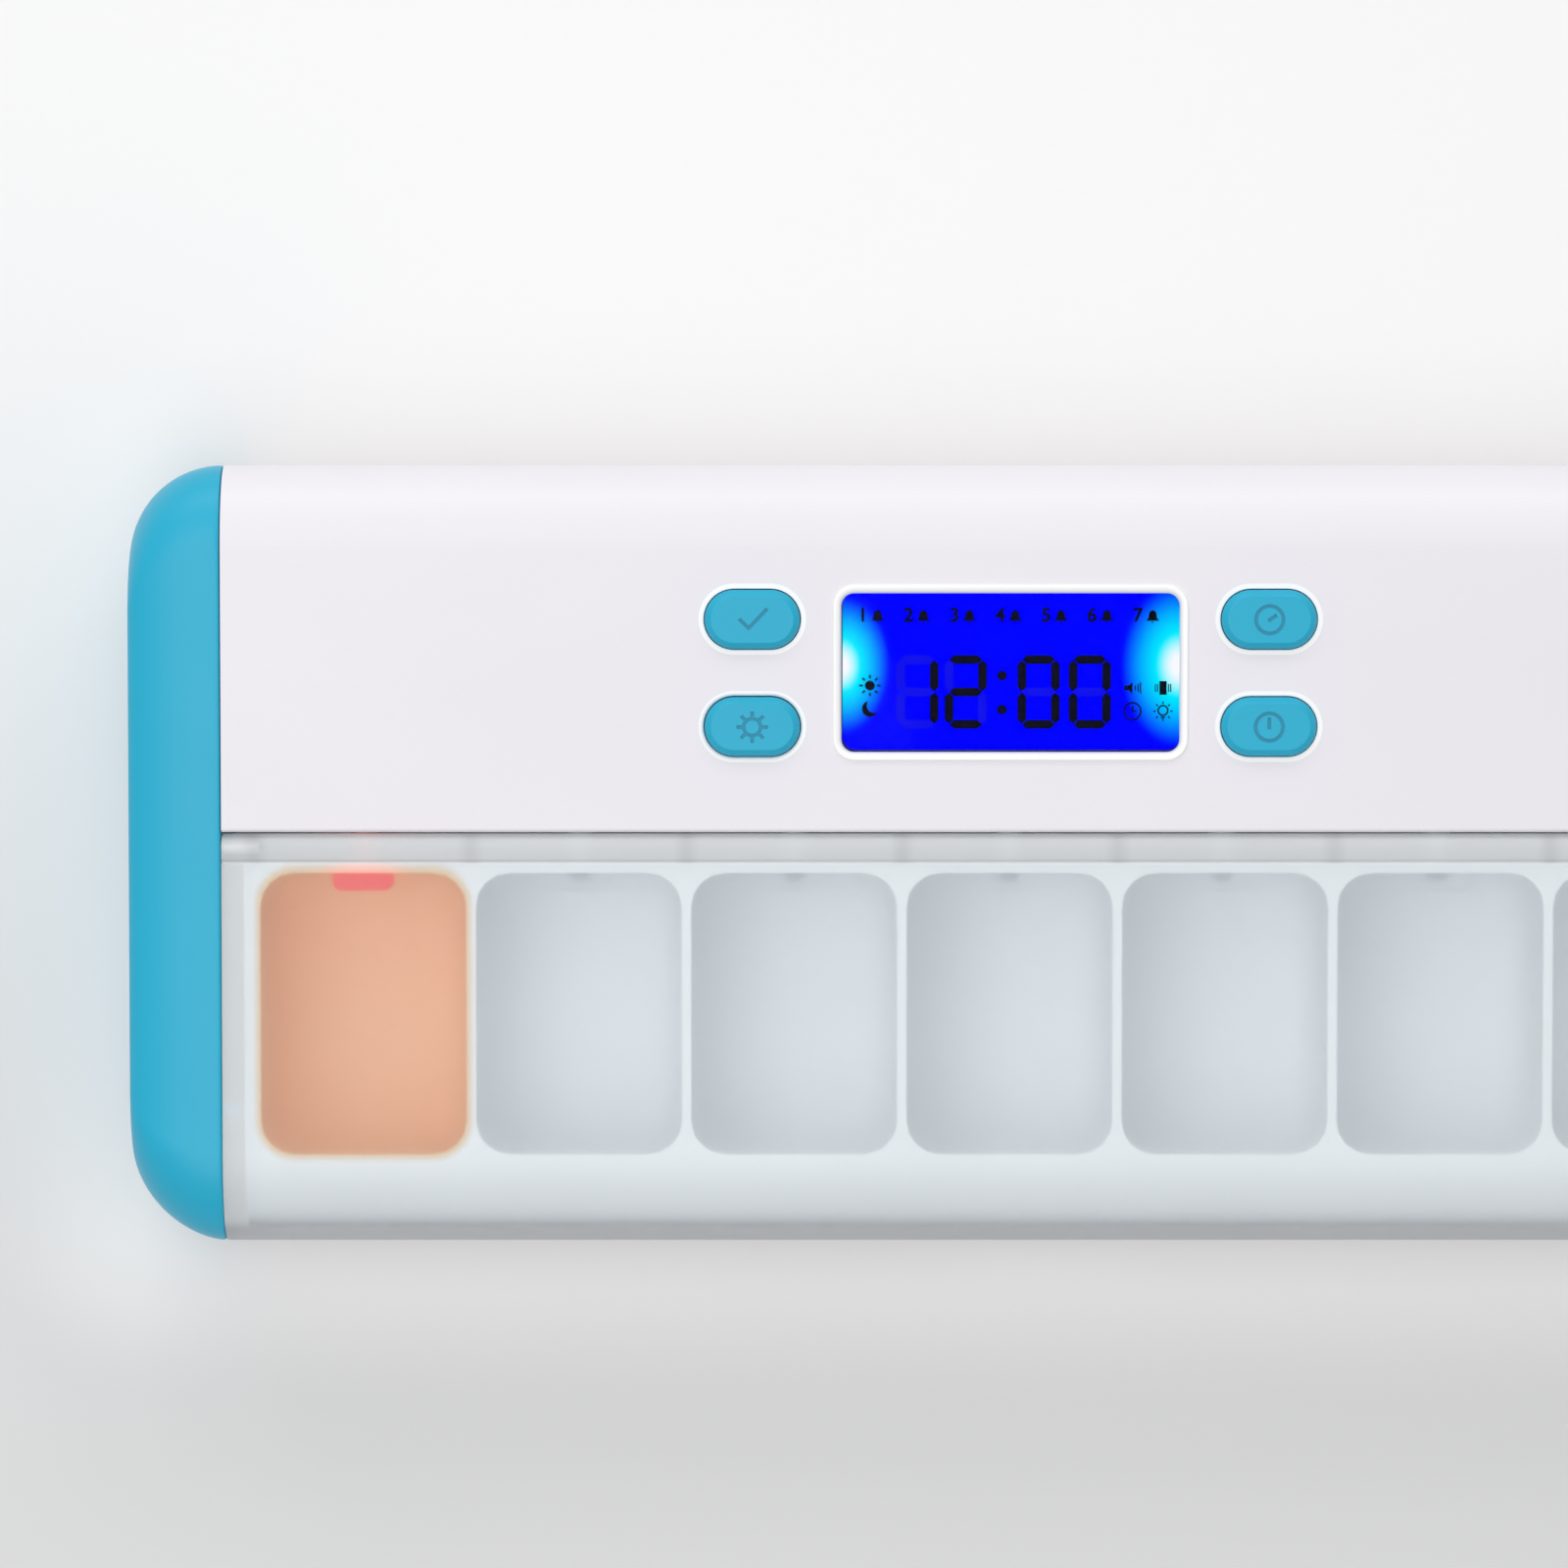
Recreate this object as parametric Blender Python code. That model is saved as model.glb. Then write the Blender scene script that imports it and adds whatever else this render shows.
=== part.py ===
"""Seven-compartment electronic pill box: a wedge-shaped case with a lit clock display, four keys and one lid.

Metres, +Z up. X runs along the case, -Y is the front with the pill lid, +Y the back with the clock.
The origin is on the table, under the middle of the case.
"""

import math

import bmesh
import bpy
from mathutils import Matrix, Vector

MM = 0.001

# Case
LENGTH = 219.4 * MM
DEPTH = 97.0 * MM
MID_HEIGHT = 28.5 * MM
FACE_SLOPE = math.radians(4.0)
FOOT_STAND = 1.0 * MM
EDGE_RUN = 11.0 * MM
EDGE_DROP = 9.0 * MM
LOWER_RADIUS = 8.0 * MM
PARTING_RISE = 13.5 * MM
SHELL_WALL = 2.0 * MM
GAP = 0.3 * MM
OVERRUN = 1.0 * MM
WELD_DISTANCE = 0.001 * MM
EDGE_STEPS = 9
SHARP_DEGREES = 30
LOWER_STEPS = 4

# End caps
CAP_LENGTH = 11.7 * MM
CAP_WALL = 1.8 * MM
CAP_CORNER = 11.5 * MM
CAP_CROWN = 4.0 * MM
CAP_BACK_POWER = 2.0
CAP_FRONT_POWER = 1.75
CAP_STEPS = 7
RIB_WIDTH = 1.6 * MM
RIB_REACH = 6.0 * MM
NOSE_REACH = 2.2 * MM
NOSE_DROP = 1.6 * MM
RIB_SHARES = (-0.66, 0.30, 0.72)

# Lid and hinge
LID_WALL = 1.8 * MM
BARREL_RADIUS = 1.7 * MM
COVER_SPAN = 47.7 * MM
BARREL_STEPS = 14
GROOVE_BACK = 1.8 * MM
GROOVE_WIDTH = 0.6 * MM
GROOVE_DEPTH = 0.25 * MM
PIN_RADIUS = 0.7 * MM
PIN_LENGTH = 8.6 * MM
PIN_PLAY = 0.15 * MM
PIN_BOSS_RADIUS = 2.3 * MM
PIN_BOSS_TOP = 1.0 * MM
PIN_FLOOR = 0.3 * MM
HOOK_X = 45.6 * MM
HOOK_WIDTH = 6.0 * MM
HOOK_HEIGHT = 1.4 * MM
HOOK_REACH = 0.3 * MM

# Pill tray
TRAY_END_GAP = 2.5 * MM
TRAY_INSET = 2.3 * MM
TRAY_WALL = 1.4 * MM
TRAY_BACK_MARGIN = 1.9 * MM
TRAY_SKIRT_RISE = 9.5 * MM
CELL_COUNT = 7
CELL_END_WALL = 2.0 * MM
CELL_WALL = 1.2 * MM
CELL_FRONT_MARGIN = 11.1 * MM
CELL_CORNER = 4.2 * MM
CELL_SCOOP = 4.0 * MM
CELL_FLOOR = 1.6 * MM
CELL_STEPS = 4
SCOOP_STEPS = 3

# Top cover and the face
COVER_EDGE_RADIUS = 1.5 * MM
COVER_LIP = 5.0 * MM
FACE_MARGIN = 26.0 * MM
WINDOW_WIDTH = 41.9 * MM
WINDOW_DEPTH = 19.7 * MM
WINDOW_RADIUS = 1.6 * MM
WINDOW_BEVEL = 0.7 * MM
RIM_THICKNESS = 1.0 * MM
LENS_MARGIN = 1.2 * MM
LENS_THICKNESS = 1.0 * MM

# Display stack, counted down from the face
GLASS_THICKNESS = 1.1 * MM
GLASS_LEDGE = 2.0 * MM
GUIDE_THICKNESS = 3.2 * MM
GUIDE_SIDE_TRIM = 0.2 * MM
GUIDE_END_TRIM = 0.55 * MM
FRAME_FLOOR = 0.4 * MM
FRAME_WALL = 1.8 * MM
BOARD_THICKNESS = 1.6 * MM
BOARD_WIDTH = 96.0 * MM
BOARD_SPAN = 34.0 * MM
BOARD_SHIFT = 2.0 * MM
BOARD_CORNER = 2.0 * MM
STRIP_THICKNESS = 1.8 * MM
LAMP_WIDTH = 1.4 * MM
LAMP_DEPTH = 3.5 * MM

# Keys
KEY_MARGIN = 5.15 * MM
KEY_SPACING = 6.0 * MM
KEY_WIDTH = 11.8 * MM
KEY_DEPTH = 7.3 * MM
KEY_PROUD = 1.1 * MM
KEY_BEVEL = 0.55 * MM
KEY_FLANGE = 1.0 * MM
KEY_FLANGE_THICKNESS = 0.9 * MM
KEY_STEM_RADIUS = 1.8 * MM
KEY_HOLE_BEVEL = 0.5 * MM
SWITCH_SIDE = 6.0 * MM
SWITCH_HEIGHT = 3.4 * MM
PLUNGER_RADIUS = 1.7 * MM
PLUNGER_PROUD = 1.1 * MM
PLUNGER_SUNK = 1.0 * MM
KEY_TRAVEL = 0.6 * MM

# Posts and screws
POST_RADIUS = 2.6 * MM
POST_ROOT_SHARE = 0.75
PILOT_RADIUS = 1.1 * MM
PILOT_DEPTH = 8.0 * MM
SHANK_RADIUS = 0.8 * MM
SHANK_LENGTH = 7.5 * MM
BOARD_SHANK_LENGTH = 5.5 * MM
HEAD_RADIUS = 2.0 * MM
HEAD_HEIGHT = 1.4 * MM
SLOT_WIDTH = 0.6 * MM
SLOT_DEPTH = 0.7 * MM
RECESS_RADIUS = 2.6 * MM
RECESS_DEPTH = 3.0 * MM
BASE_BOSS_RADIUS = 3.4 * MM
BASE_BOSS_RISE = 5.0 * MM
COVER_POST_SIDE = 8.0 * MM
COVER_POST_BACK = 9.1 * MM
COVER_POST_PLAY = 0.4 * MM
TRAY_POST_MARGIN = 6.2 * MM
TRAY_POST_RADIUS = 2.2 * MM
BOARD_POST_SIDE = 3.5 * MM
BOARD_POST_END = 2.0 * MM
BOARD_POST_RADIUS = 2.4 * MM
BOARD_PILOT_DEPTH = 4.5 * MM

# Base
TONGUE_RISE = 2.0 * MM
TONGUE_WALL = 1.2 * MM
TONGUE_ROOT = 4.0 * MM
WALL_THICKNESS = 1.5 * MM
WALL_TOP_GAP = 0.5 * MM
THUMB_WIDTH = 24.0 * MM
THUMB_HEIGHT = 2.4 * MM
THUMB_DEPTH = 1.1 * MM
FOOT_SIDE_MARGIN = 9.7 * MM
FOOT_BACK_MARGIN = 15.5 * MM
FOOT_RADIUS = 4.5 * MM
FOOT_SUNK = 0.8 * MM

# Battery bay
BAY_LENGTH = 52.4 * MM
BAY_WIDTH = 32.4 * MM
BAY_HEIGHT = 11.3 * MM
BAY_WALL = 1.5 * MM
BAY_PLAY = 0.25 * MM
DOOR_LEDGE = 1.4 * MM
DOOR_THICKNESS = 1.6 * MM
TAB_WIDTH = 5.0 * MM
TAB_Y = 9.0 * MM
TAB_REACH = 0.9 * MM
TAB_THICKNESS = 1.2 * MM
TAB_LIFT = 0.6 * MM
TAB_STEM = 1.2 * MM
TAB_SLOT_HEIGHT = 2.4 * MM
LATCH_WIDTH = 10.0 * MM
LATCH_HEIGHT = 2.0 * MM
LATCH_THICKNESS = 1.2 * MM
NOTCH_RADIUS = 6.0 * MM
NOTCH_SHARE = 0.72
CELL_CAN_COUNT = 3
CELL_CAN_PLAY = 0.5 * MM
SPRING_ROOM = 5.0 * MM
CELL_NUB_RADIUS = 1.9 * MM
CELL_NUB_LENGTH = 0.8 * MM
CELL_CAN_LIFT = 0.25 * MM
CONTACT_THICKNESS = 0.4 * MM
CONTACT_WIDTH = 8.4 * MM
CONTACT_HEIGHT = 6.6 * MM
CONTACT_DIMPLE = 1.2 * MM
SPRING_WIRE_RADIUS = 0.3 * MM
SPRING_RADIUS = 2.8 * MM
SPRING_TIP_SHARE = 0.6
SPRING_TURNS = 4
SPRING_POINTS = 8
SPRING_EMBED = 0.15 * MM

# Pill lamps
LAMP_BOARD_MARGIN = 2.4 * MM
LAMP_BOARD_THICKNESS = 1.6 * MM
LAMP_BOARD_TRIM = 1.2 * MM
LAMP_BOARD_HEIGHT = 7.6 * MM
LAMP_BOARD_PLAY = 0.4 * MM
LED_RADIUS = 1.5 * MM
LED_DOME = 1.2 * MM
LED_FLANGE_RADIUS = 1.9 * MM
LED_FLANGE = 1.0 * MM
LED_PROUD = 1.2 * MM
LED_HOLE_PLAY = 0.3 * MM

# Sounder and shaker
BUZZER_SIDE_MARGIN = 30.7 * MM
BUZZER_BACK_MARGIN = 23.5 * MM
BUZZER_RADIUS = 10.5 * MM
BUZZER_HEIGHT = 5.0 * MM
BUZZER_RING = 1.2 * MM
BUZZER_RING_HEIGHT = 3.0 * MM
BUZZER_HOLE_RADIUS = 1.5 * MM
SOUND_HOLES = 6
SOUND_HOLE_RADIUS = 0.9 * MM
SOUND_CIRCLE = 5.0 * MM
MOTOR_SIDE_MARGIN = 31.7 * MM
MOTOR_BACK_MARGIN = 23.5 * MM
MOTOR_RADIUS = 3.5 * MM
MOTOR_LENGTH = 13.0 * MM
MOTOR_RISE = 5.2 * MM
CRADLE_THICKNESS = 1.6 * MM
CRADLE_WIDTH = 11.0 * MM
CRADLE_SPACING = 8.0 * MM
CRADLE_HEIGHT = 5.4 * MM
SHAFT_RADIUS = 0.5 * MM
SHAFT_SUNK = 3.0 * MM
WEIGHT_RADIUS = 3.4 * MM
WEIGHT_LENGTH = 4.5 * MM
WEIGHT_HUB = 1.4 * MM

# Places that follow from the sizes above
HALF_DEPTH = DEPTH / 2
RISE = math.tan(FACE_SLOPE)
SEAM_X = LENGTH / 2 - CAP_LENGTH
BODY_END = SEAM_X - GAP
FLOOR_Z = FOOT_STAND + SHELL_WALL
PARTING_Z = FOOT_STAND + PARTING_RISE

HINGE_Y = HALF_DEPTH - COVER_SPAN
COVER_FRONT = HINGE_Y + BARREL_RADIUS * (1 + math.sin(FACE_SLOPE)) + GAP
LAMP_BOARD_Y = HINGE_Y + LAMP_BOARD_MARGIN
LAMP_DROP = COVER_LIP + LAMP_BOARD_PLAY + LAMP_BOARD_HEIGHT / 2
WALL_Y = LAMP_BOARD_Y + LAMP_BOARD_THICKNESS + GAP
WALL_BACK = WALL_Y + WALL_THICKNESS

TRAY_LENGTH = 2 * (BODY_END - TRAY_END_GAP)
TRAY_BACK_Y = HINGE_Y - TRAY_BACK_MARGIN
LAMP_BOARD_LENGTH = TRAY_LENGTH - 2 * LAMP_BOARD_TRIM
CELL_BACK_Y = TRAY_BACK_Y - CELL_WALL
CELL_FRONT_Y = CELL_FRONT_MARGIN - HALF_DEPTH
CELL_WIDTH = (TRAY_LENGTH - 2 * CELL_END_WALL - (CELL_COUNT - 1) * CELL_WALL) / CELL_COUNT
CELL_PITCH = CELL_WIDTH + CELL_WALL
LED_LENGTH = LAMP_BOARD_Y - GAP - CELL_BACK_Y + LED_PROUD

FACE_Y = HALF_DEPTH - FACE_MARGIN
LENS_TOP = -RIM_THICKNESS - GAP
GLASS_TOP = LENS_TOP - LENS_THICKNESS - GAP
GUIDE_TOP = GLASS_TOP - 2 * GLASS_THICKNESS - GAP
GUIDE_WIDTH = WINDOW_WIDTH - 2 * GUIDE_SIDE_TRIM
GUIDE_DEPTH = WINDOW_DEPTH - 2 * GUIDE_END_TRIM
FRAME_FOOT = GUIDE_TOP - GUIDE_THICKNESS - GAP - FRAME_FLOOR
BOARD_DEPTH = GAP - FRAME_FOOT
BOARD_POST_X = BOARD_WIDTH / 2 - BOARD_POST_SIDE
BOARD_POST_Y = BOARD_SPAN / 2 - BOARD_SHIFT - BOARD_POST_END
KEY_X = WINDOW_WIDTH / 2 + KEY_MARGIN + KEY_WIDTH / 2
KEY_Y = (KEY_DEPTH + KEY_SPACING) / 2

BAY_Y = WALL_BACK + BAY_WIDTH / 2
CELL_CAN_RADIUS = (BAY_WIDTH - 2 * BAY_PLAY - (CELL_CAN_COUNT - 1) * CELL_CAN_PLAY) / (2 * CELL_CAN_COUNT)
CELL_CAN_PITCH = 2 * CELL_CAN_RADIUS + CELL_CAN_PLAY
CONTACT_SPACE = GAP + CONTACT_THICKNESS
CELL_CAN_LENGTH = BAY_LENGTH - 2 * CONTACT_SPACE - CONTACT_DIMPLE - GAP - CELL_NUB_LENGTH - SPRING_ROOM

COVER_POST_X = BOARD_WIDTH / 2 + COVER_POST_SIDE
COVER_POST_Y = (WALL_BACK + BASE_BOSS_RADIUS + COVER_POST_PLAY, HALF_DEPTH - COVER_POST_BACK)
TRAY_POST_X = CELL_PITCH * (CELL_COUNT - 1) / 2
TRAY_POST_Y = TRAY_POST_MARGIN - HALF_DEPTH
FOOT_X = BODY_END - FOOT_SIDE_MARGIN
FOOT_Y = HALF_DEPTH - FOOT_BACK_MARGIN
BUZZER_X = BODY_END - BUZZER_SIDE_MARGIN
BUZZER_Y = HALF_DEPTH - BUZZER_BACK_MARGIN
MOTOR_X = MOTOR_SIDE_MARGIN - BODY_END
MOTOR_Y = HALF_DEPTH - MOTOR_BACK_MARGIN


def clear_scene():
    for obj in list(bpy.data.objects):
        bpy.data.objects.remove(obj, do_unlink=True)


def material(name, colour, roughness, metallic=0.0, transmission=0.0):
    mat = bpy.data.materials.new(name)
    mat.use_nodes = True
    shader = mat.node_tree.nodes["Principled BSDF"]
    shader.inputs["Base Color"].default_value = (*colour, 1.0)
    shader.inputs["Roughness"].default_value = roughness
    shader.inputs["Metallic"].default_value = metallic
    shader.inputs["Transmission Weight"].default_value = transmission
    return mat


def face_z(y, inset=0.0):
    """Height of the sloped face at y, lowered by inset square to it."""
    return FOOT_STAND + MID_HEIGHT + y * RISE - inset / math.cos(FACE_SLOPE)


def upper_corner(side, inset=0.0):
    """Points of the rounded upper edge, from the face out to the side wall; side is 1 at the back, -1 in front."""
    run, drop = EDGE_RUN - inset, EDGE_DROP - inset
    along = (side * math.cos(FACE_SLOPE), side * math.sin(FACE_SLOPE))
    centre_y = side * (HALF_DEPTH - inset) - run * along[0]
    centre_z = face_z(centre_y, inset) - drop
    points = []
    for step in range(EDGE_STEPS + 1):
        turn = math.pi / 2 * (1 - step / EDGE_STEPS)
        points.append(
            (
                centre_y + run * along[0] * math.cos(turn),
                centre_z + run * along[1] * math.cos(turn) + drop * math.sin(turn),
            )
        )
    return points


def lower_corner(side, inset=0.0):
    """Points of the rounded lower edge, from the side wall in to the underside."""
    radius = LOWER_RADIUS - inset
    centre_y = side * (HALF_DEPTH - LOWER_RADIUS)
    centre_z = FOOT_STAND + LOWER_RADIUS
    points = []
    for step in range(LOWER_STEPS + 1):
        turn = math.pi / 2 * step / LOWER_STEPS
        points.append((centre_y + side * radius * math.cos(turn), centre_z - radius * math.sin(turn)))
    return points


def section(inset=0.0):
    """The closed outline of the whole case in the YZ plane."""
    return (
        upper_corner(1, inset)
        + lower_corner(1, inset)
        + lower_corner(-1, inset)[::-1]
        + upper_corner(-1, inset)[::-1]
    )


def rounded_rectangle(width, depth, radius, steps=4):
    points = []
    for quarter, (sx, sy) in enumerate(((1, 1), (-1, 1), (-1, -1), (1, -1))):
        for step in range(steps + 1):
            turn = math.pi / 2 * (quarter + step / steps)
            point = (
                sx * (width / 2 - radius) + radius * math.cos(turn),
                sy * (depth / 2 - radius) + radius * math.sin(turn),
            )
            if not points or math.dist(point, points[-1]) > WELD_DISTANCE:
                points.append(point)
    if math.dist(points[0], points[-1]) < WELD_DISTANCE:
        points.pop()
    return points


def rectangle(x0, x1, y0, y1):
    return [(x0, y0), (x1, y0), (x1, y1), (x0, y1)]


def circle(radius, steps, centre=(0.0, 0.0)):
    turns = [2 * math.pi * (step + 0.5) / steps for step in range(steps)]
    return [(centre[0] + radius * math.cos(t), centre[1] + radius * math.sin(t)) for t in turns]


def prism(bm, outline, start, end, axis="Z"):
    """Adds the outline, swept along one axis from start to end; its coordinates are the other axes in order."""
    place = {
        "X": lambda a, b, c: (c, a, b),
        "Y": lambda a, b, c: (a, c, b),
        "Z": lambda a, b, c: (a, b, c),
    }[axis]
    verts = [bm.verts.new(place(a, b, start)) for a, b in outline]
    face = bm.faces.new(verts)
    swept = bmesh.ops.extrude_face_region(bm, geom=[face])["geom"]
    moved = [item for item in swept if isinstance(item, bmesh.types.BMVert)]
    bmesh.ops.translate(bm, verts=moved, vec=Vector(place(0.0, 0.0, end - start)))
    bmesh.ops.recalc_face_normals(bm, faces=bm.faces[:])
    return verts, moved


def link(name, bm, mat=None, parent=None):
    mesh = bpy.data.meshes.new(name)
    bmesh.ops.recalc_face_normals(bm, faces=bm.faces[:])
    bm.to_mesh(mesh)
    bm.free()
    if mat:
        mesh.materials.append(mat)
    obj = bpy.data.objects.new(name, mesh)
    bpy.context.scene.collection.objects.link(obj)
    obj.parent = parent
    return obj


def swept(name, outline, start, end, mat=None, axis="Z", parent=None):
    bm = bmesh.new()
    prism(bm, outline, start, end, axis)
    return link(name, bm, mat, parent)


def hide_helper(obj):
    obj.hide_render = True
    obj.display_type = "WIRE"


def boolean(obj, other, operation="DIFFERENCE"):
    hide_helper(other)
    modifier = obj.modifiers.new(other.name, "BOOLEAN")
    modifier.operation = operation
    modifier.object = other
    modifier.solver = "EXACT"


def cut(obj, label, outline, start, end, axis="Z", parent=None):
    boolean(obj, swept(f"{obj.name}_{label}_cutter", outline, start, end, axis=axis, parent=parent))


def weld(obj, label, outline, start, end, axis="Z", parent=None):
    boolean(obj, swept(f"{obj.name}_{label}_joined", outline, start, end, axis=axis, parent=parent), "UNION")


def lens_outline():
    margin = 2 * LENS_MARGIN
    return rounded_rectangle(WINDOW_WIDTH + margin, WINDOW_DEPTH + margin, WINDOW_RADIUS)


def flared_cutter(name, width, depth, radius, bevel, through, parent):
    """A straight hole from below the face that flares by the bevel at the surface."""
    bm = bmesh.new()
    hole = rounded_rectangle(width, depth, radius)
    beyond = bevel + OVERRUN
    flare = rounded_rectangle(width + 2 * beyond, depth + 2 * beyond, radius + beyond)
    rings = []
    for outline, height in ((hole, -through), (hole, -bevel), (flare, OVERRUN)):
        rings.append([bm.verts.new((x, y, height)) for x, y in outline])
    bm.faces.new(rings[0])
    bm.faces.new(rings[-1])
    count = len(hole)
    for low, high in zip(rings, rings[1:]):
        for i in range(count):
            j = (i + 1) % count
            bm.faces.new((low[i], low[j], high[j], high[i]))
    return link(name, bm, parent=parent)


def key_places():
    return {
        "confirm": (-KEY_X, KEY_Y),
        "set": (-KEY_X, -KEY_Y),
        "hour": (KEY_X, KEY_Y),
        "minute": (KEY_X, -KEY_Y),
    }


def post_outline(x, y, radius, steps=16):
    return circle(radius, steps, (x, y))


def cover_posts():
    return [(sx * COVER_POST_X, y) for sx in (-1, 1) for y in COVER_POST_Y]


def tray_posts():
    return [(sx * TRAY_POST_X, TRAY_POST_Y) for sx in (-1, 0, 1)]


def board_posts():
    return [(-BOARD_POST_X, BOARD_POST_Y), (BOARD_POST_X, -BOARD_POST_Y)]


def post_foot_z():
    return FOOT_STAND + BASE_BOSS_RISE + GAP


def build_top_cover(mat, face):
    """The white cover: sloped face, rounded back edge, back wall, and the lip behind the hinge."""
    corner = COVER_EDGE_RADIUS
    rounding = []
    for step in range(4):
        turn = math.pi / 2 * step / 3
        y = COVER_FRONT + corner * (1 - math.cos(turn))
        rounding.append((y, face_z(COVER_FRONT + corner) - corner * (1 - math.sin(turn))))
    lip_z = face_z(COVER_FRONT) - COVER_LIP
    foot_z = PARTING_Z + GAP
    outline = (
        [(COVER_FRONT, lip_z)]
        + rounding
        + upper_corner(1)
        + [(HALF_DEPTH, foot_z), (HALF_DEPTH - SHELL_WALL, foot_z)]
        + upper_corner(1, SHELL_WALL)[::-1]
        + [
            (COVER_FRONT + SHELL_WALL, face_z(COVER_FRONT + SHELL_WALL, SHELL_WALL)),
            (COVER_FRONT + SHELL_WALL, lip_z),
        ]
    )
    cover = swept("top_cover", outline, -BODY_END, BODY_END, mat, "X")
    for number, (x, y) in enumerate(cover_posts()):
        top = face_z(y, SHELL_WALL * POST_ROOT_SHARE)
        weld(cover, f"post{number}", post_outline(x, y, POST_RADIUS), post_foot_z(), top)
        cut(
            cover,
            f"pilot{number}",
            post_outline(x, y, PILOT_RADIUS, 10),
            post_foot_z() - OVERRUN,
            post_foot_z() + PILOT_DEPTH,
        )
    for number, (x, y) in enumerate(board_posts()):
        foot = -BOARD_DEPTH + GAP
        post = circle(BOARD_POST_RADIUS, 14, (x, y))
        weld(cover, f"boss{number}", post, foot, -SHELL_WALL / 2, parent=face)
        cut(
            cover,
            f"tapping{number}",
            circle(PILOT_RADIUS, 10, (x, y)),
            foot - OVERRUN,
            foot + BOARD_PILOT_DEPTH,
            parent=face,
        )
    pocket = swept(
        "top_cover_lens_pocket_cutter",
        rounded_rectangle(
            WINDOW_WIDTH + 2 * (LENS_MARGIN + GAP),
            WINDOW_DEPTH + 2 * (LENS_MARGIN + GAP),
            WINDOW_RADIUS + GAP,
        ),
        -SHELL_WALL - OVERRUN,
        -RIM_THICKNESS,
        parent=face,
    )
    boolean(cover, pocket)
    boolean(
        cover,
        flared_cutter(
            "top_cover_window_cutter",
            WINDOW_WIDTH,
            WINDOW_DEPTH,
            WINDOW_RADIUS,
            WINDOW_BEVEL,
            SHELL_WALL + OVERRUN,
            face,
        ),
    )
    for name, (x, y) in key_places().items():
        hole = flared_cutter(
            f"top_cover_{name}_key_cutter",
            KEY_WIDTH + 2 * GAP,
            KEY_DEPTH + 2 * GAP,
            (KEY_DEPTH + 2 * GAP) / 2,
            KEY_HOLE_BEVEL,
            SHELL_WALL + OVERRUN,
            face,
        )
        hole.location = (x, y, 0.0)
        boolean(cover, hole)


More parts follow.
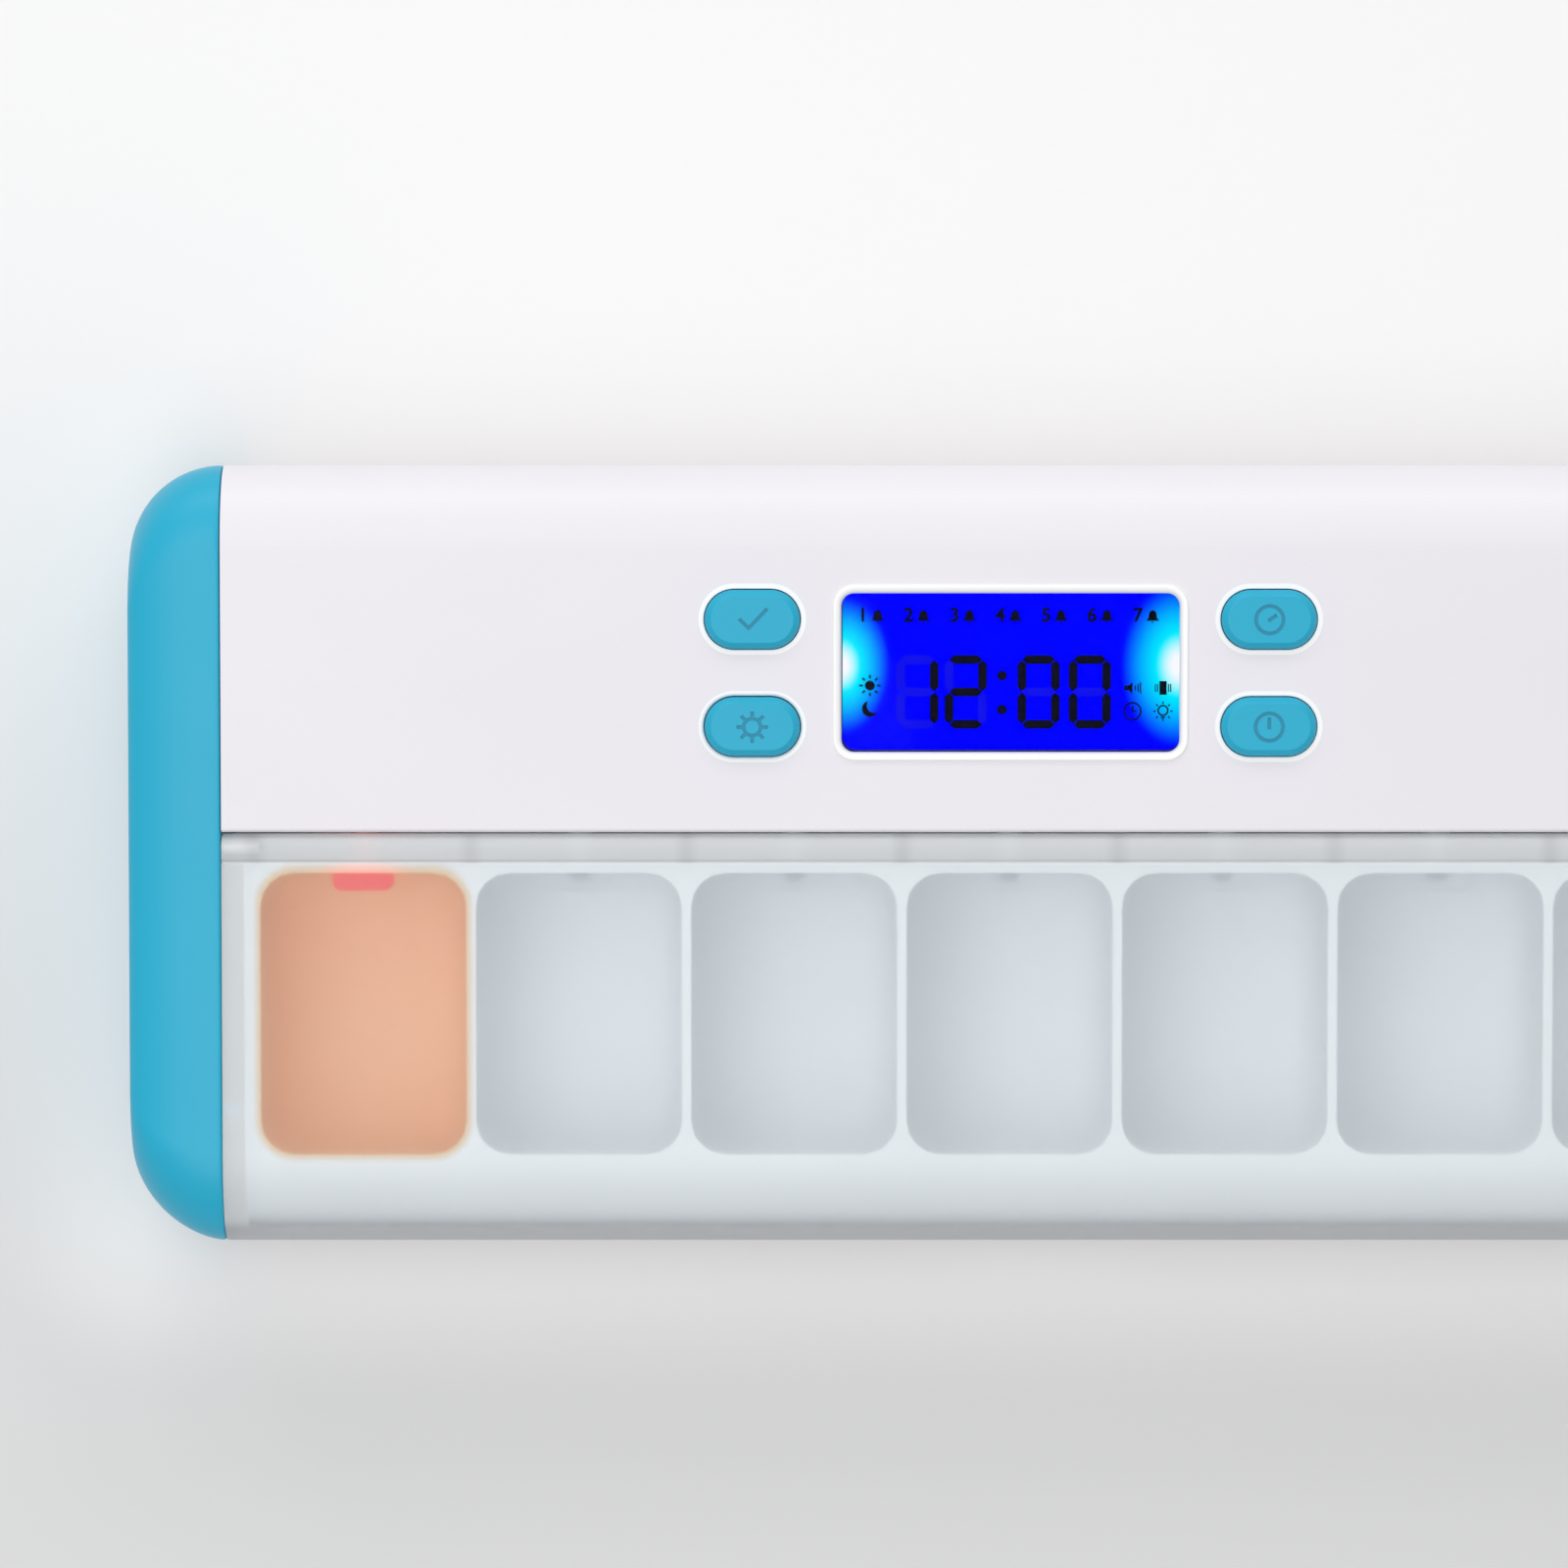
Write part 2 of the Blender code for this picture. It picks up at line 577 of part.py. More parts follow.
def build_base_shell(mat):
    """The white tub: floor, walls, dividing wall, battery box, bosses, sounder ring and motor cradle."""
    inner = HALF_DEPTH - SHELL_WALL
    tongue = inner - GAP
    outline = (
        [(HALF_DEPTH, PARTING_Z)]
        + lower_corner(1)
        + lower_corner(-1)[::-1]
        + [(-HALF_DEPTH, PARTING_Z), (-inner, PARTING_Z)]
        + lower_corner(-1, SHELL_WALL)
        + lower_corner(1, SHELL_WALL)[::-1]
        + [
            (inner, PARTING_Z - TONGUE_ROOT),
            (tongue - TONGUE_WALL, PARTING_Z - TONGUE_ROOT / 2),
            (tongue - TONGUE_WALL, PARTING_Z + TONGUE_RISE),
            (tongue, PARTING_Z + TONGUE_RISE),
            (tongue, PARTING_Z),
        ]
    )
    base = swept("base_shell", outline, -BODY_END, BODY_END, mat, "X")
    root = FLOOR_Z - SHELL_WALL / 2
    wall_top = face_z(WALL_Y, SHELL_WALL) - WALL_TOP_GAP
    half = TRAY_LENGTH / 2
    weld(base, "divider", rectangle(-half, half, WALL_Y, WALL_Y + WALL_THICKNESS), root, wall_top)
    box_x, box_y = BAY_LENGTH / 2 + BAY_WALL, BAY_WIDTH / 2 + BAY_WALL
    bay_top = FLOOR_Z + BAY_HEIGHT
    weld(base, "box", rectangle(-box_x, box_x, BAY_Y - box_y, BAY_Y + box_y), root, bay_top + BAY_WALL)
    for number, (x, y) in enumerate(cover_posts() + tray_posts()):
        boss = post_outline(x, y, BASE_BOSS_RADIUS, 16)
        weld(base, f"boss{number}", boss, root, FOOT_STAND + BASE_BOSS_RISE)
    weld(
        base,
        "ring",
        circle(BUZZER_RADIUS + GAP + BUZZER_RING, 24, (BUZZER_X, BUZZER_Y)),
        root,
        FLOOR_Z + BUZZER_RING_HEIGHT,
    )
    for side in (-1, 1):
        x = MOTOR_X + side * CRADLE_SPACING / 2
        weld(
            base,
            f"cradle{side}",
            rectangle(
                x - CRADLE_THICKNESS / 2,
                x + CRADLE_THICKNESS / 2,
                MOTOR_Y - CRADLE_WIDTH / 2,
                MOTOR_Y + CRADLE_WIDTH / 2,
            ),
            root,
            FLOOR_Z + CRADLE_HEIGHT,
        )
    cut(
        base,
        "bay",
        rectangle(-BAY_LENGTH / 2, BAY_LENGTH / 2, BAY_Y - BAY_WIDTH / 2, BAY_Y + BAY_WIDTH / 2),
        FOOT_STAND - OVERRUN,
        bay_top,
    )
    recess_x, recess_y = BAY_LENGTH / 2 + DOOR_LEDGE, BAY_WIDTH / 2 + DOOR_LEDGE
    cut(
        base,
        "door_recess",
        rectangle(-recess_x, recess_x, BAY_Y - recess_y, BAY_Y + recess_y),
        FOOT_STAND - OVERRUN,
        FOOT_STAND + DOOR_THICKNESS + GAP,
    )
    for side in (-1, 1):
        y = BAY_Y + side * TAB_Y
        cut(
            base,
            f"tab_slot{side}",
            rectangle(
                -box_x - OVERRUN, -BAY_LENGTH / 2 + OVERRUN, y - TAB_WIDTH / 2 - GAP, y + TAB_WIDTH / 2 + GAP
            ),
            FLOOR_Z,
            FLOOR_Z + TAB_SLOT_HEIGHT,
        )
    for number, (x, y) in enumerate(cover_posts() + tray_posts()):
        cut(
            base,
            f"bore{number}",
            post_outline(x, y, PILOT_RADIUS, 10),
            FOOT_STAND - OVERRUN,
            FOOT_STAND + BASE_BOSS_RISE + OVERRUN,
        )
        cut(
            base,
            f"recess{number}",
            post_outline(x, y, RECESS_RADIUS, 16),
            FOOT_STAND - OVERRUN,
            FOOT_STAND + RECESS_DEPTH,
        )
    cut(
        base,
        "sounder_seat",
        circle(BUZZER_RADIUS + GAP, 24, (BUZZER_X, BUZZER_Y)),
        FLOOR_Z,
        FLOOR_Z + BUZZER_RING_HEIGHT + OVERRUN,
    )
    for hole in range(SOUND_HOLES + 1):
        turn = 2 * math.pi * hole / SOUND_HOLES
        reach = SOUND_CIRCLE if hole < SOUND_HOLES else 0.0
        place = (BUZZER_X + reach * math.cos(turn), BUZZER_Y + reach * math.sin(turn))
        sound = circle(SOUND_HOLE_RADIUS, 10, place)
        cut(base, f"sound{hole}", sound, FOOT_STAND - OVERRUN, FLOOR_Z + OVERRUN)
    cut(
        base,
        "motor_seat",
        circle(MOTOR_RADIUS + GAP, 20, (MOTOR_Y, FLOOR_Z + MOTOR_RISE)),
        MOTOR_X - MOTOR_LENGTH / 2,
        MOTOR_X + MOTOR_LENGTH / 2,
        axis="X",
    )
    for number, (x, y) in enumerate(foot_places()):
        cut(
            base,
            f"foot{number}",
            post_outline(x, y, FOOT_RADIUS + GAP, 20),
            FOOT_STAND - OVERRUN,
            FOOT_STAND + FOOT_SUNK,
        )
    cut(
        base,
        "thumb",
        [
            (-THUMB_WIDTH / 2, PARTING_Z + OVERRUN),
            (-THUMB_WIDTH / 2, PARTING_Z),
            (-THUMB_WIDTH / 3, PARTING_Z - THUMB_HEIGHT),
            (THUMB_WIDTH / 3, PARTING_Z - THUMB_HEIGHT),
            (THUMB_WIDTH / 2, PARTING_Z),
            (THUMB_WIDTH / 2, PARTING_Z + OVERRUN),
        ],
        -HALF_DEPTH - OVERRUN,
        -HALF_DEPTH + THUMB_DEPTH,
        axis="Y",
    )


def foot_places():
    return [(sx * FOOT_X, sy * FOOT_Y) for sx in (-1, 1) for sy in (-1, 1)]


def cap_inset(share, power):
    """How far the end has rounded in, from 0 at the seam to 1 at the end face."""
    return 1 - (1 - share**power) ** (1 / power)


def cap_rings(wall, length, steps):
    """Section outlines from the seam to the end face, as (x, outline)."""
    middle_z = FOOT_STAND + MID_HEIGHT / 2
    rings = []
    for step in range(steps + 1):
        share = math.sin(math.pi / 2 * step / steps)
        back = 1 - cap_inset(share, CAP_BACK_POWER) * CAP_CORNER / HALF_DEPTH
        front = 1 - cap_inset(share, CAP_FRONT_POWER) * CAP_CORNER / HALF_DEPTH
        crown = 1 - cap_inset(share, CAP_BACK_POWER) * CAP_CROWN / (MID_HEIGHT / 2)
        outline = []
        for y, z in section(wall):
            outline.append((y * (back if y > 0 else front), middle_z + (z - middle_z) * crown))
        rings.append((length * share, outline))
    return rings


def cap_form(bm, side, rings, lead):
    """A closed solid through the rings, with a straight lead before the seam."""
    stations = [(-lead, rings[0][1])] if lead else []
    stations += rings
    loops = [[bm.verts.new((side * (SEAM_X + x), y, z)) for y, z in outline] for x, outline in stations]
    bm.faces.new(loops[0])
    bm.faces.new(loops[-1])
    count = len(loops[0])
    for near, far in zip(loops, loops[1:]):
        for i in range(count):
            j = (i + 1) % count
            bm.faces.new((near[i], near[j], far[j], far[i]))


def build_end_cap(name, side, mat):
    """A hollow rounded end with stiffening ribs whose noses locate it in the open end of the case."""
    bm = bmesh.new()
    cap_form(bm, side, cap_rings(0.0, CAP_LENGTH, CAP_STEPS), 0.0)
    cap = link(name, bm, mat)
    bm = bmesh.new()
    cap_form(bm, side, cap_rings(CAP_WALL, CAP_LENGTH - CAP_WALL, CAP_STEPS - 2), OVERRUN)
    boolean(cap, link(f"{name}_hollow_cutter", bm))
    for number, share in enumerate(RIB_SHARES):
        y = share * HALF_DEPTH
        across = (y - RIB_WIDTH / 2, y + RIB_WIDTH / 2)
        low, high = FOOT_STAND + CAP_WALL, face_z(y, CAP_WALL)
        seat, tip = FLOOR_Z + GAP, face_z(y) - TRAY_INSET - NOSE_DROP
        root, end = SEAM_X + GAP, SEAM_X + RIB_REACH
        bury = CAP_WALL / 2
        profile = [
            (root, low - bury),
            (end, low - bury),
            (end, high + bury),
            (root, high + bury),
            (root, tip),
            (SEAM_X - NOSE_REACH, tip - NOSE_REACH / 2),
            (SEAM_X - NOSE_REACH, seat + NOSE_REACH / 2),
            (root, seat),
        ]
        weld(cap, f"rib{number}", [(side * x, z) for x, z in profile], *across, axis="Y")
    centre = hinge_point()
    reach = SEAM_X + PIN_LENGTH / 2 + PIN_FLOOR
    ends = sorted((side * SEAM_X, side * (reach + OVERRUN)))
    boss_centre = (centre[0], centre[1] + PIN_BOSS_TOP - PIN_BOSS_RADIUS)
    weld(cap, "pivot", circle(PIN_BOSS_RADIUS, 16, boss_centre), *ends, axis="X")
    ends = sorted((side * (SEAM_X - OVERRUN), side * reach))
    cut(cap, "pivot_bore", circle(PIN_RADIUS + PIN_PLAY, 12, centre), *ends, axis="X")


def hinge_point():
    """(y, z) of the lid's pivot axis."""
    return (
        HINGE_Y + BARREL_RADIUS * math.sin(FACE_SLOPE),
        face_z(HINGE_Y + BARREL_RADIUS * math.sin(FACE_SLOPE), BARREL_RADIUS),
    )


def build_lid(mat, hinge):
    """One frosted lid over all the compartments: hinge barrel, flat panel and a front apron, two hooks."""
    axis_y, axis_z = hinge_point()
    start = math.pi / 2 + FACE_SLOPE
    stop = -math.pi + FACE_SLOPE + math.asin((LID_WALL - BARREL_RADIUS) / BARREL_RADIUS)
    barrel = []
    for step in range(BARREL_STEPS + 1):
        turn = start + (stop - start) * step / BARREL_STEPS
        barrel.append((axis_y + BARREL_RADIUS * math.cos(turn), axis_z + BARREL_RADIUS * math.sin(turn)))
    groove_y = HINGE_Y - GROOVE_BACK
    groove = [
        (groove_y - GROOVE_WIDTH / 2, face_z(groove_y - GROOVE_WIDTH / 2)),
        (groove_y - GROOVE_WIDTH / 4, face_z(groove_y, GROOVE_DEPTH)),
        (groove_y + GROOVE_WIDTH / 4, face_z(groove_y, GROOVE_DEPTH)),
        (groove_y + GROOVE_WIDTH / 2, face_z(groove_y + GROOVE_WIDTH / 2)),
    ]
    foot_z = PARTING_Z + GAP
    outline = (
        [(-HALF_DEPTH, foot_z)]
        + upper_corner(-1)[::-1]
        + groove
        + barrel
        + upper_corner(-1, LID_WALL)
        + [(-HALF_DEPTH + LID_WALL, foot_z)]
    )
    outline = [(y - axis_y, z - axis_z) for y, z in outline]
    lid = swept("lid", outline, -BODY_END, BODY_END, mat, "X", parent=hinge)
    for side in (-1, 1):
        ends = sorted((side * (BODY_END - PIN_LENGTH / 2 - PIN_FLOOR), side * (BODY_END + OVERRUN)))
        cut(lid, f"pin_bore{side}", circle(PIN_RADIUS + PIN_PLAY, 12), *ends, axis="X", parent=hinge)
        x = side * HOOK_X
        inner = -HALF_DEPTH + LID_WALL
        hook = [
            (inner - LID_WALL / 2 - axis_y, foot_z - axis_z),
            (inner - axis_y, foot_z - axis_z),
            (inner + HOOK_REACH - axis_y, foot_z + HOOK_HEIGHT / 2 - axis_z),
            (inner + HOOK_REACH - axis_y, foot_z + HOOK_HEIGHT - axis_z),
            (inner - LID_WALL / 2 - axis_y, foot_z + HOOK_HEIGHT - axis_z),
        ]
        weld(lid, f"hook{side}", hook, x - HOOK_WIDTH / 2, x + HOOK_WIDTH / 2, axis="X", parent=hinge)


def build_hinge_pin(name, side, mat):
    ends = sorted((side * (SEAM_X - PIN_LENGTH / 2), side * (SEAM_X + PIN_LENGTH / 2)))
    swept(name, circle(PIN_RADIUS, 12, hinge_point()), *ends, mat, "X")


def cell_cutter(name, x):
    """The inside of one compartment: rounded corners, and a floor that scoops up to its walls."""
    bm = bmesh.new()
    bottom = FLOOR_Z + GAP + CELL_FLOOR
    top = face_z(0.0) + OVERRUN
    outline = rectangle(x - CELL_WIDTH / 2, x + CELL_WIDTH / 2, CELL_FRONT_Y, CELL_BACK_Y)
    low, high = prism(bm, outline, bottom, top)
    bm.edges.ensure_lookup_table()
    uprights = [e for e in bm.edges if abs(e.verts[0].co.z - e.verts[1].co.z) > (top - bottom) / 2]
    round_off = {"profile": 0.5, "affect": "EDGES", "material": -1}
    bmesh.ops.bevel(bm, geom=uprights, offset=CELL_CORNER, segments=CELL_STEPS, **round_off)
    around = [e for e in bm.edges if all(abs(v.co.z - bottom) < GAP for v in e.verts)]
    bmesh.ops.bevel(bm, geom=around, offset=CELL_SCOOP, segments=SCOOP_STEPS, **round_off)
    return link(name, bm)


def cell_centres():
    return [CELL_PITCH * (number - (CELL_COUNT - 1) / 2) for number in range(CELL_COUNT)]


def build_pill_tray(mat):
    """The tray: seven scooped compartments, a deck that follows the lid, and a skirt inside the front wall."""
    bottom = FLOOR_Z + GAP
    skirt_z = FOOT_STAND + TRAY_SKIRT_RISE
    inner = TRAY_INSET + TRAY_WALL
    block_front = CELL_FRONT_Y - CELL_WALL
    outline = (
        [(TRAY_BACK_Y, bottom), (TRAY_BACK_Y, face_z(TRAY_BACK_Y, TRAY_INSET))]
        + upper_corner(-1, TRAY_INSET)
        + [(-HALF_DEPTH + TRAY_INSET, skirt_z), (-HALF_DEPTH + inner, skirt_z)]
        + upper_corner(-1, inner)[::-1]
        + [(block_front, face_z(block_front, inner)), (block_front, bottom)]
    )
    half = TRAY_LENGTH / 2
    tray = swept("pill_tray", outline, -half, half, mat, "X")
    for number, x in enumerate(cell_centres()):
        boolean(tray, cell_cutter(f"pill_tray_cell{number + 1}_cutter", x))
    for number, x in enumerate(cell_centres()):
        cut(
            tray,
            f"lamp{number + 1}",
            circle(LED_RADIUS + LED_HOLE_PLAY, 12, (x, lamp_z())),
            CELL_BACK_Y - OVERRUN,
            TRAY_BACK_Y + OVERRUN,
            axis="Y",
        )
    for number, (x, y) in enumerate(tray_posts()):
        under_deck = upper_corner(-1, TRAY_INSET + TRAY_WALL / 2)[2:7]
        profile = [(under_deck[-1][0], post_foot_z()), (under_deck[0][0], post_foot_z())] + under_deck
        weld(tray, f"post{number}", profile, x - TRAY_POST_RADIUS, x + TRAY_POST_RADIUS, axis="X")
        cut(
            tray,
            f"pilot{number}",
            post_outline(x, y, PILOT_RADIUS, 10),
            post_foot_z() - OVERRUN,
            post_foot_z() + PILOT_DEPTH,
        )


def lamp_z():
    return face_z(LAMP_BOARD_Y) - LAMP_DROP


def build_window(mat, face):
    swept("display_window", lens_outline(), LENS_TOP - LENS_THICKNESS, LENS_TOP, mat, parent=face)


def build_display(mats, face):
    """LCD sandwich, its carrier frame, the light guide with a lamp at each end, and the rubber contact strip."""
    top = GLASS_TOP
    width = WINDOW_WIDTH + LENS_MARGIN
    depth = WINDOW_DEPTH + LENS_MARGIN
    front = -depth / 2 - GLASS_LEDGE
    glass = swept(
        "lcd_glass",
        rectangle(-width / 2, width / 2, front, depth / 2),
        top - 2 * GLASS_THICKNESS,
        top - GLASS_THICKNESS,
        mats["glass"],
        parent=face,
    )
    weld(
        glass,
        "upper",
        rectangle(-width / 2, width / 2, -depth / 2, depth / 2),
        top - GLASS_THICKNESS - GLASS_THICKNESS / 2,
        top,
        parent=face,
    )
    guide_top = GUIDE_TOP
    guide_foot = guide_top - GUIDE_THICKNESS
    half_x, half_y = GUIDE_WIDTH / 2, GUIDE_DEPTH / 2
    guide_outline = rounded_rectangle(GUIDE_WIDTH, GUIDE_DEPTH, WINDOW_RADIUS, 2)
    swept("light_guide", guide_outline, guide_foot, guide_top, mats["guide"], parent=face)
    board_top = -BOARD_DEPTH
    outer_x = half_x + GAP + LAMP_WIDTH + GAP + FRAME_WALL
    outer_front = front - GAP - FRAME_WALL
    outer_back = depth / 2 + GAP + FRAME_WALL
    frame = swept(
        "lcd_frame",
        rectangle(-outer_x, outer_x, outer_front, outer_back),
        FRAME_FOOT,
        top - GLASS_THICKNESS,
        mats["frame"],
        parent=face,
    )
    cut(
        frame,
        "glass_seat",
        rectangle(-width / 2 - GAP, width / 2 + GAP, front - GAP, depth / 2 + GAP),
        top - 2 * GLASS_THICKNESS - GAP,
        top + OVERRUN,
        parent=face,
    )
    cut(
        frame,
        "guide_seat",
        rectangle(-half_x - 2 * GAP - LAMP_WIDTH, half_x + 2 * GAP + LAMP_WIDTH, -half_y - GAP, half_y + GAP),
        guide_foot - GAP,
        top,
        parent=face,
    )
    strip_y = front + STRIP_THICKNESS / 2 + GAP
    strip_half = half_x - LAMP_WIDTH
    cut(
        frame,
        "strip_seat",
        rectangle(
            -strip_half - GAP,
            strip_half + GAP,
            strip_y - STRIP_THICKNESS / 2 - GAP,
            strip_y + STRIP_THICKNESS / 2 + GAP,
        ),
        board_top - OVERRUN,
        top,
        parent=face,
    )
    swept(
        "lcd_contact_strip",
        rectangle(-strip_half, strip_half, strip_y - STRIP_THICKNESS / 2, strip_y + STRIP_THICKNESS / 2),
        board_top + GAP,
        top - 2 * GLASS_THICKNESS - GAP,
        mats["rubber"],
        parent=face,
    )
    for side, name in ((-1, "left"), (1, "right")):
        x0, x1 = sorted((side * (half_x + GAP), side * (half_x + GAP + LAMP_WIDTH)))
        swept(
            f"backlight_lamp_{name}",
            rectangle(x0, x1, -LAMP_DEPTH / 2, LAMP_DEPTH / 2),
            guide_foot,
            guide_top - GAP,
            mats["lamp"],
            parent=face,
        )


def build_board(mat, face):
    outline = rounded_rectangle(BOARD_WIDTH, BOARD_SPAN, BOARD_CORNER, 2)
    outline = [(x, y + BOARD_SHIFT) for x, y in outline]
    board = swept("circuit_board", outline, -BOARD_DEPTH - BOARD_THICKNESS, -BOARD_DEPTH, mat, parent=face)
    for number, place in enumerate(board_posts()):
        cut(
            board,
            f"hole{number}",
            circle(PILOT_RADIUS, 10, place),
            -BOARD_DEPTH - BOARD_THICKNESS - OVERRUN,
            -BOARD_DEPTH + OVERRUN,
            parent=face,
        )


def build_key(name, x, y, mats, face):
    """A key cap with its retaining flange and stem, the switch under it, and the switch's plunger."""
    carrier = bpy.data.objects.new(f"{name}_key_axis", None)
    bpy.context.scene.collection.objects.link(carrier)
    carrier.parent = face
    carrier.location = (x, y, 0.0)
    outline = rounded_rectangle(KEY_WIDTH, KEY_DEPTH, KEY_DEPTH / 2)
    flange_top = -SHELL_WALL - GAP
    bm = bmesh.new()
    prism(bm, outline, flange_top - KEY_FLANGE_THICKNESS / 2, KEY_PROUD)
    rim = [e for e in bm.edges if all(v.co.z > KEY_PROUD - KEY_BEVEL for v in e.verts)]
    bmesh.ops.bevel(bm, geom=rim, offset=KEY_BEVEL, segments=2, profile=0.5, affect="EDGES", material=-1)
    key = link(f"{name}_key", bm, mats["key"], carrier)
    flange_width, flange_depth = KEY_WIDTH + 2 * KEY_FLANGE, KEY_DEPTH + 2 * KEY_FLANGE
    flange = rounded_rectangle(flange_width, flange_depth, KEY_DEPTH / 2 + KEY_FLANGE)
    weld(key, "flange", flange, flange_top - KEY_FLANGE_THICKNESS, flange_top, parent=carrier)
    body_top = -BOARD_DEPTH + GAP + SWITCH_HEIGHT
    plunger_top = body_top + PLUNGER_PROUD
    weld(
        key,
        "stem",
        circle(KEY_STEM_RADIUS, 12),
        plunger_top + GAP,
        flange_top - KEY_FLANGE_THICKNESS / 2,
        parent=carrier,
    )
    side = SWITCH_SIDE / 2
    switch = swept(
        f"{name}_switch",
        rectangle(-side, side, -side, side),
        body_top - SWITCH_HEIGHT,
        body_top,
        mats["switch"],
    )
    switch.parent = carrier
    bore_floor = body_top - PLUNGER_SUNK - KEY_TRAVEL - GAP
    cut(switch, "bore", circle(PLUNGER_RADIUS + GAP, 12), bore_floor, body_top + OVERRUN, parent=carrier)
    swept(
        f"{name}_plunger",
        circle(PLUNGER_RADIUS, 12),
        body_top - PLUNGER_SUNK,
        plunger_top,
        mats["plunger"],
        parent=carrier,
    )


def build_screw(name, mat, location, shank=SHANK_LENGTH, parent=None):
    """A slotted pan-head screw that points up from its head."""
    bm = bmesh.new()
    prism(bm, circle(HEAD_RADIUS, 14), -HEAD_HEIGHT, 0.0)
    screw = link(name, bm, mat, parent)
    helper = swept(f"{name}_shank_joined", circle(SHANK_RADIUS, 10), -HEAD_HEIGHT / 2, shank, parent=screw)
    boolean(screw, helper, "UNION")
    slot = rectangle(-HEAD_RADIUS * 2, HEAD_RADIUS * 2, -SLOT_WIDTH / 2, SLOT_WIDTH / 2)
    slot_floor = -HEAD_HEIGHT + SLOT_DEPTH
    helper = swept(f"{name}_slot_cutter", slot, -HEAD_HEIGHT - OVERRUN, slot_floor, parent=screw)
    boolean(screw, helper)
    screw.location = location


def build_screws(mat, face):
    seat = FOOT_STAND + RECESS_DEPTH - GAP
    for number, (x, y) in enumerate(cover_posts()):
        build_screw(f"cover_screw_{number + 1}", mat, (x, y, seat))
    for number, (x, y) in enumerate(tray_posts()):
        build_screw(f"tray_screw_{number + 1}", mat, (x, y, seat))
    for number, (x, y) in enumerate(board_posts()):
        place = (x, y, -BOARD_DEPTH - BOARD_THICKNESS - GAP)
        build_screw(f"board_screw_{number + 1}", mat, place, BOARD_SHANK_LENGTH, face)


def build_feet(mat):
    names = ("foot_front_left", "foot_back_left", "foot_front_right", "foot_back_right")
    for name, (x, y) in zip(names, foot_places()):
        bm = bmesh.new()
        top = FOOT_STAND + FOOT_SUNK - GAP
        prism(bm, post_outline(x, y, FOOT_RADIUS, 20), 0.0, top)
        rim = [e for e in bm.edges if all(v.co.z < top / 2 for v in e.verts)]
        bmesh.ops.bevel(bm, geom=rim, offset=GAP, segments=1, profile=0.5, affect="EDGES", material=-1)
        link(name, bm, mat)


def cell_can_places():
    """(name, y, side) of each battery; side is where its nub points."""
    middle = (CELL_CAN_COUNT - 1) / 2
    return [
        (f"battery_{n + 1}", BAY_Y + (n - middle) * CELL_CAN_PITCH, 1 if n % 2 == 0 else -1)
        for n in range(CELL_CAN_COUNT)
    ]


def can_z():
    return FOOT_STAND + DOOR_THICKNESS + GAP + CELL_CAN_RADIUS + CELL_CAN_LIFT


def plate_face():
    """Distance from the middle of the bay to the inner face of a contact plate."""
    return BAY_LENGTH / 2 - CONTACT_SPACE


def build_batteries(mat):
    tip = plate_face() - CONTACT_DIMPLE - GAP
    for name, y, side in cell_can_places():
        shoulder = tip - CELL_NUB_LENGTH
        ends = sorted((side * shoulder, side * (shoulder - CELL_CAN_LENGTH)))
        battery = swept(name, circle(CELL_CAN_RADIUS, 24, (y, can_z())), *ends, mat, "X")
        ends = sorted((side * (shoulder - CELL_NUB_LENGTH), side * tip))
        weld(battery, "nub", circle(CELL_NUB_RADIUS, 12, (y, can_z())), *ends, axis="X")


def spring_mesh(name, y, side, reach):
    """A conical battery spring from the plate towards the battery."""
    curve = bpy.data.curves.new(name, "CURVE")
    curve.dimensions = "3D"
    curve.bevel_depth = SPRING_WIRE_RADIUS
    curve.bevel_resolution = 0
    curve.use_fill_caps = True
    total = SPRING_TURNS * SPRING_POINTS
    spline = curve.splines.new("POLY")
    spline.points.add(total)
    start = plate_face() - SPRING_EMBED
    for i, point in enumerate(spline.points):
        share = i / total
        turn = 2 * math.pi * SPRING_TURNS * share
        radius = SPRING_RADIUS * (1 - share * (1 - SPRING_TIP_SHARE))
        x = side * (start - reach * share)
        point.co = (x, y + radius * math.cos(turn), can_z() + radius * math.sin(turn), 1.0)
    helper = bpy.data.objects.new(name, curve)
    bpy.context.scene.collection.objects.link(helper)
    bpy.context.view_layer.update()
    evaluated = helper.evaluated_get(bpy.context.evaluated_depsgraph_get())
    mesh = bpy.data.meshes.new_from_object(evaluated)
    bpy.data.objects.remove(helper, do_unlink=True)
    bm = bmesh.new()
    bm.from_mesh(mesh)
    bmesh.ops.remove_doubles(bm, verts=bm.verts[:], dist=WELD_DISTANCE)
    return link(name, bm)


